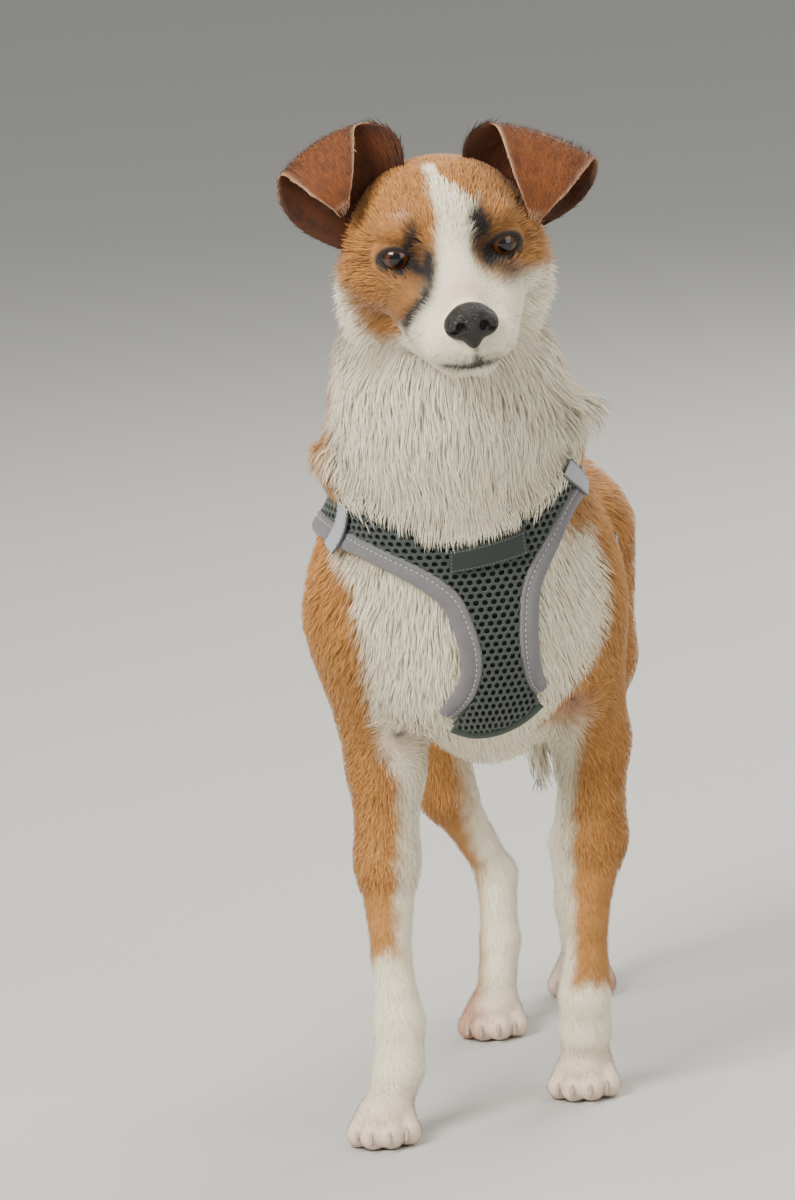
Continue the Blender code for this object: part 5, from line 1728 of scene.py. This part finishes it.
def addBuckle():
    where = seatOn((*backPlace, 392), (0, 1, 0))
    for part, way in (("socket", -1), ("latch", 1)):
        size = buckle[part]
        x = buckle["joint"] + way * (size[0] / 2 + 0.15)
        shape = bmesh.new()
        rounded(shape, (x, 0, buckle["lift"] + size[2] / 2), size, buckle["bevel"], where)
        wide, share, tall = buckle["rib"]
        for k in range(buckle["ribs"]):
            across = x + way * buckle["ribOff"]
            across += (k - (buckle["ribs"] - 1) / 2) * buckle["ribStep"]
            rounded(shape, (across, 0, buckle["lift"] + size[2] - 0.1),
                    (wide, size[1] * share, tall), buckle["ribBevel"], where)
        finished("buckle_%s_shell" % part, shape, "plastic", ["buckle_" + part])


def addRing(side, on, lift):
    def place(t):
        c, s = cos(t), sin(t)
        x = ringMake["wide"] / 2 * np.sign(c) * abs(c) ** 0.75
        y = ringMake["deep"] * s if s > 0 else ringMake["under"] * abs(s) ** 0.4
        return on @ (Vector((x, y, lift + ringMake["wire"] + 0.6)) * mm)

    shape = bmesh.new()
    turns = np.linspace(0, 2 * pi, ringMake["segments"], endpoint=False)
    wireLoop(shape, [tuple(place(t)) for t in turns], ringMake["wire"] * mm, ringMake["sides"])
    finished("ring_wire_" + side, shape, "steel", ["ring_" + side])


def addKeeper(side, on, lift):
    shape = bmesh.new()
    (y, z), (deep, tall) = keeper["centre"], keeper["radii"]
    loop = [(y + deep * cos(t), lift + z + tall * sin(t))
            for t in np.linspace(0, 2 * pi, keeper["sides"], endpoint=False)]
    sections = [[shape.verts.new(on @ (Vector((x, b, c)) * mm)) for b, c in loop]
            for x in np.linspace(-keeper["half"], keeper["half"], keeper["sections"])]
    bridged(shape, sections)
    shape.faces.new(sections[0][::-1])
    shape.faces.new(sections[-1])
    finished("keeper_loop_" + side, shape, "strap_webbing", ["keeper_" + side])


def addSlider(side):
    guide = girthStraps[side][-3]
    on = seatOn(guide, np.array(girthStraps[side][-2]) - guide)
    wide, deep, thick = slider["size"]
    bar, middle = slider["bar"], strapTop + 0.5 + thick / 2
    shape = bmesh.new()
    for end in (-1, 0, 1):
        at = (0, end * (deep - bar) / 2, middle)
        rounded(shape, at, (wide, bar, thick), slider["bevel"], on)
    for end in (-1, 1):
        at = (end * (wide - bar) / 2, 0, middle)
        rounded(shape, at, (bar, deep, thick), slider["bevel"], on)
    finished("slider_frame_" + side, shape, "plastic", ["slider_" + side])


def addHardware():
    addBuckle()
    for side, way in bothSides:
        x, y = backPlace[0] + way * ringMake["apart"], backPlace[1]
        route = [(x, y - 27, 390), (x, y, 390), (x, y + 26, 386)]
        grid, out = strip(route, yokeTape["width"], strapTop, yokeTape["count"])
        crowned("yoke_tape_" + side, grid, out, yokeTape["crown"], "strap_webbing",
                ["yoke_" + side])
        on = seatOn((x, y, 390), (0, 1, 0))
        lift = strapTop + 1.6 + 0.6 + 1.2                # over the strap and the yoke's tape
        addRing(side, on, lift)
        addKeeper(side, on, lift)
        addSlider(side)


# each tape's height across it, in mm; and along the girth straps, how they sink at the front
crowns = dict(
    armhole=(0.5, 2.2, 2.3, 1.5, 2.1, 2.5, 2.6, 2.6, 2.5, 2.2, 1.6, 0.5),
    hem=(0.5, 2.0, 2.4, 2.5, 2.3, 1.9, 0.5), tab=(0.7, 1.2, 1.25, 1.2, 0.7),
    strap=(1.0, 1.8, 2.0, 1.9, 2.0, 1.9, 2.0, 1.9, 2.0, 1.8, 1.0),
)
straps = dict(counts=dict(shoulder=44, girth=110), tabWidth=11, tabLift=4.1, tabCount=26,
        sinkDeep=9.5, sinkStart=3.5, sinkRun=0.11, tapeSink=6, tapeRun=0.3)


def runOf(count):
    return np.linspace(0, 1, count)[:, None, None]


def addVest():
    grid, out = panelGrid, panelOut
    back = crowned("vest_lining", grid + out * (vest["liningLift"] - vest["lift"]), out,
            (vest["backing"],) * 3, "vest_backing")
    net = addNet()
    seams = []
    count = 70
    for side, edge, inside in (("right", 0, 1), ("left", -1, -2)):
        under, away = edgeTape(curveThrough(grid[:, edge], count),
                curveThrough(grid[:, inside], count), vest["tape"], vest["lift"] + 1.1, across=15)
        # their low ends go in under the hair of the legs
        low = np.clip(1 - runOf(count) / straps["tapeRun"], 0, 1)
        under = under - away * straps["tapeSink"] * low ** 2
        crowned("armhole_tape_" + side, under, away, crowns["armhole"], "binding_tape",
                ["binding_armhole_" + side])
        seams.append((under + away * 1.85)[1:-1, 4])
    under, away = edgeTape(curveThrough(grid[0], 40), curveThrough(grid[1], 40), vest["hem"],
            vest["lift"] + 0.6)
    crowned("hem_tape", under[1:-1], away[1:-1], crowns["hem"], "hem_tape",
            ["binding_hem"])
    return back, net, seams


def addStraps(seams):
    for side in ("right", "left"):
        under, away = strip(tabs[side], straps["tabWidth"], vest["lift"] + straps["tabLift"],
                straps["tabCount"])
        crowned("tab_tape_" + side, under, away, crowns["tab"], "tab_tape",
                ["tab_" + side])
        seams += [(under + away * 1.25)[2:-2, k] for k in (1, 7)]
        for name, guides in (("shoulder", shoulderStraps[side]), ("girth", girthStraps[side])):
            count = straps["counts"][name]
            under, away = strip(guides, vest["strap"], vest["lift"], count, across=11)
            if name == "girth":
                # the front ends press into the coat behind the hem
                sunk = np.clip(straps["sinkStart"] - runOf(count) / straps["sinkRun"], 0, 1)
                under = under - away * straps["sinkDeep"] * sunk
            crowned("%s_webbing_%s" % (name, side), under, away, crowns["strap"],
                    "strap_webbing", ["strap_%s_%s" % (name, side)])


def addLabel():
    low = curveThrough((label["low"], label["lowEnd"]), 34)
    high = curveThrough((label["high"], label["highEnd"]), 34)
    rise = runOf(13)
    under, away = laid(low[None] * (1 - rise) + high[None] * rise,
            vest["lift"] + vest["thick"] + 0.5)
    crowned("label_patch_cloth", under, away, (label["thick"],) * 3, "label_weave",
            ["label_patch"])
    on = under + away * (label["thick"] + 0.02)
    return [on[1, 1:-1], on[-2, 1:-1], on[1:-1, 1], on[1:-1, -2]]


def addStitches(name, seams, thread, values=None):
    tree = stitchTree(finishes[thread])
    addPiece(name, grownFrom(name, pathMesh(name + "_paths", seams), tree, values))


clawMake = dict(length=9, root=2.3, tip=0.35, drop=6.0, sides=12, rings=9, back=2.5, low=-4.0,
        narrow=0.78, roughness=0.32, gloss=0.55, rootColour=(0.42, 0.30, 0.22),
        tipColour=(0.10, 0.075, 0.06), paleStreak=(0.62, 0.52, 0.43), streaks=(420, 4),
        bump=(0.3, 0.0002))


def clawMaterial():
    material, tree, shader = newMaterial("claw_horn", clawMake["roughness"],
            Specular_IOR_Level=clawMake["gloss"])
    along = channels(tree, "run")[0]
    tone = mix(tree, along, clawMake["rootColour"], clawMake["tipColour"])
    streak = noise(tree, *clawMake["streaks"])
    colourInto(tree, shader, mix(tree, streak, tone, clawMake["paleStreak"]))
    bumpInto(tree, shader, streak, *clawMake["bump"])
    return material


def clawPart(paw, aside, ahead):
    # a bent cone of rings, closed at both ends
    sides, rings, back = clawMake["sides"], clawMake["rings"], clawMake["back"]
    start = np.array(paw) + (aside, -ahead - 5 + back, clawMake["low"])
    points, run = [], []
    for t in np.arange(rings) / (rings - 1):
        middle = start + (aside * 0.05 * t, -(clawMake["length"] + back) * t,
                -clawMake["drop"] * t * t)
        size = clawMake["root"] * (1 - t) ** 0.6 + clawMake["tip"] * t
        for a in 2 * pi * np.arange(sides) / sides:
            points.append(middle + (size * cos(a) * clawMake["narrow"], 0, size * sin(a)))
            run.append((t, 0, 0, 1))
    cap = np.array([(k - 1, k, sides - k - 1, sides - k) for k in range(1, sides // 2)])
    faces = [ringFaces(rings, sides), cap, cap[:, ::-1] + (rings - 1) * sides]
    return dict(points=np.array(points), faces=np.concatenate(faces), run=np.array(run))


def addClaws():
    material = clawMaterial()
    for pair, legs in (("fore", forelegs), ("hind", hindlegs)):
        for side, joints in legs.items():
            name = "claws_%s_%s" % (pair, side)
            whole = joined([clawPart(joints["paw"], *toe) for toe in toes])
            mesh = meshOf(name, placed(whole["points"]), whole["faces"])
            paint(mesh, "run", whole["run"])
            mesh.materials.append(material)
            solids = ["claw_%s_%s_%d" % (pair, side, k) for k in range(1, 5)]
            addPiece(name, mesh, solids)


whiskers = dict(rows=((20, 36, -33), (19, 43, -30), (16, 50, -30), (19, 47, -36), (15, 54, -36)),
        length=(0.028, 0.048), root=0.00022, taper=1.05, sides=5, points=14,
        aside=0.85, ahead=(-0.45, 0.1), rise=(-0.55, 0.05), droop=(0, -0.28, -0.3))


def whiskerTree(finish):
    tree, given, out = newTree("whiskers", (("Root", "Float", whiskers["root"]),))
    path = step(tree, "GeometryNodeMeshToCurve", {"Mesh": given["Geometry"]})
    place = step(tree, "GeometryNodeSplineParameter").outputs["Factor"]
    size = calc(tree, "MULTIPLY", calc(tree, "SUBTRACT", whiskers["taper"], place), given["Root"])
    ring = step(tree, "GeometryNodeCurvePrimitiveCircle", {
        "Resolution": whiskers["sides"], "Radius": 1.0})
    sized = step(tree, "GeometryNodeSetCurveRadius", {"Curve": path.outputs[0], "Radius": size})
    tube = step(tree, "GeometryNodeCurveToMesh", {
        "Curve": sized.outputs[0], "Profile Curve": ring.outputs[0], "Fill Caps": True})
    if "Scale" in tube.inputs:
        tree.links.new(size, tube.inputs["Scale"])
    return finishTree(tree, tube.outputs[0], finish, out)


def addWhiskers():
    material = twoTone("whisker_hair", 0.4, (0.20, 0.16, 0.12), (0.48, 0.42, 0.34), (300, 2))
    t = np.linspace(0, 1, whiskers["points"])[:, None]
    paths = []
    for side in (-1, 1):
        for aside, ahead, rise in whiskers["rows"]:
            root = settle(onHead(side * aside, ahead, rise)[None], skinForms, -0.6, 1)[0][0]
            length = luck.uniform(*whiskers["length"]) / mm
            aim = headLie(side * whiskers["aside"], luck.uniform(*whiskers["ahead"]),
                    luck.uniform(*whiskers["rise"]))
            paths.append(root + aim * length * t + headLie(*whiskers["droop"]) * length * t ** 2)
    mesh = grownFrom("whiskers", pathMesh("whisker_guides", paths), whiskerTree(material))
    addPiece("whiskers", mesh)


back, net, seams = addVest()
addStraps(seams)
labelSeams = addLabel()
addStitches("seam_stitches", seams, "seam_thread")
addStitches("label_stitches", labelSeams, "label_thread",
        {"Spacing": 0.0021, "Length": 0.0008, "Thread": 0.00026})
addHardware()

# the lining's length down the middle, in metres
high = np.linalg.norm(np.diff(panelGrid[:, vest["columns"] // 2], axis=0), axis=1).sum() * mm
addClaws()
addWhiskers()
print("harness, claws and whiskers set")


# the floor and the lights: each lamp's place in metres, its width and its power
studio = dict(floor=(0.52, 0.52, 0.50, 1), size=40.0, lampColour=(1.0, 0.965, 0.90),
        aim=(0, 0, 0.3), sky=(0.86, 0.86, 0.83, 1), skyPower=0.5,
        lamps=dict(key=((-1.6, -2.6, 2.6), 1.8, 230), fill=((2.6, -1.8, 1.3), 2.2, 42),
            rim=((1.2, 2.6, 2.2), 1.6, 80), top=((0, 0, 3.2), 2.4, 60)))


def addStage():
    mesh = bpy.data.meshes.new("floor")
    s = studio["size"]
    mesh.from_pydata([(-s, -s, 0), (s, -s, 0), (s, s, 0), (-s, s, 0)], [], [(0, 1, 2, 3)])
    mesh.materials.append(newMaterial("floor_paint", 0.8, Base_Color=studio["floor"])[0])
    floor = bpy.data.objects.new("floor", mesh)
    bpy.context.collection.objects.link(floor)
    for name, (place, size, power) in studio["lamps"].items():
        data = bpy.data.lights.new(name, "AREA")
        data.energy = power
        data.color = studio["lampColour"]
        data.size = size
        lamp = bpy.data.objects.new(name, data)
        lamp.location = place
        aim = Vector(studio["aim"]) - Vector(place)
        lamp.rotation_euler = aim.to_track_quat("-Z", "Y").to_euler()
        bpy.context.collection.objects.link(lamp)
    world = bpy.data.worlds.new("studio")
    world.use_nodes = True
    sky = world.node_tree.nodes["Background"]
    sky.inputs[0].default_value = studio["sky"]
    sky.inputs[1].default_value = studio["skyPower"]
    bpy.context.scene.world = world


addStage()
print("stage set")
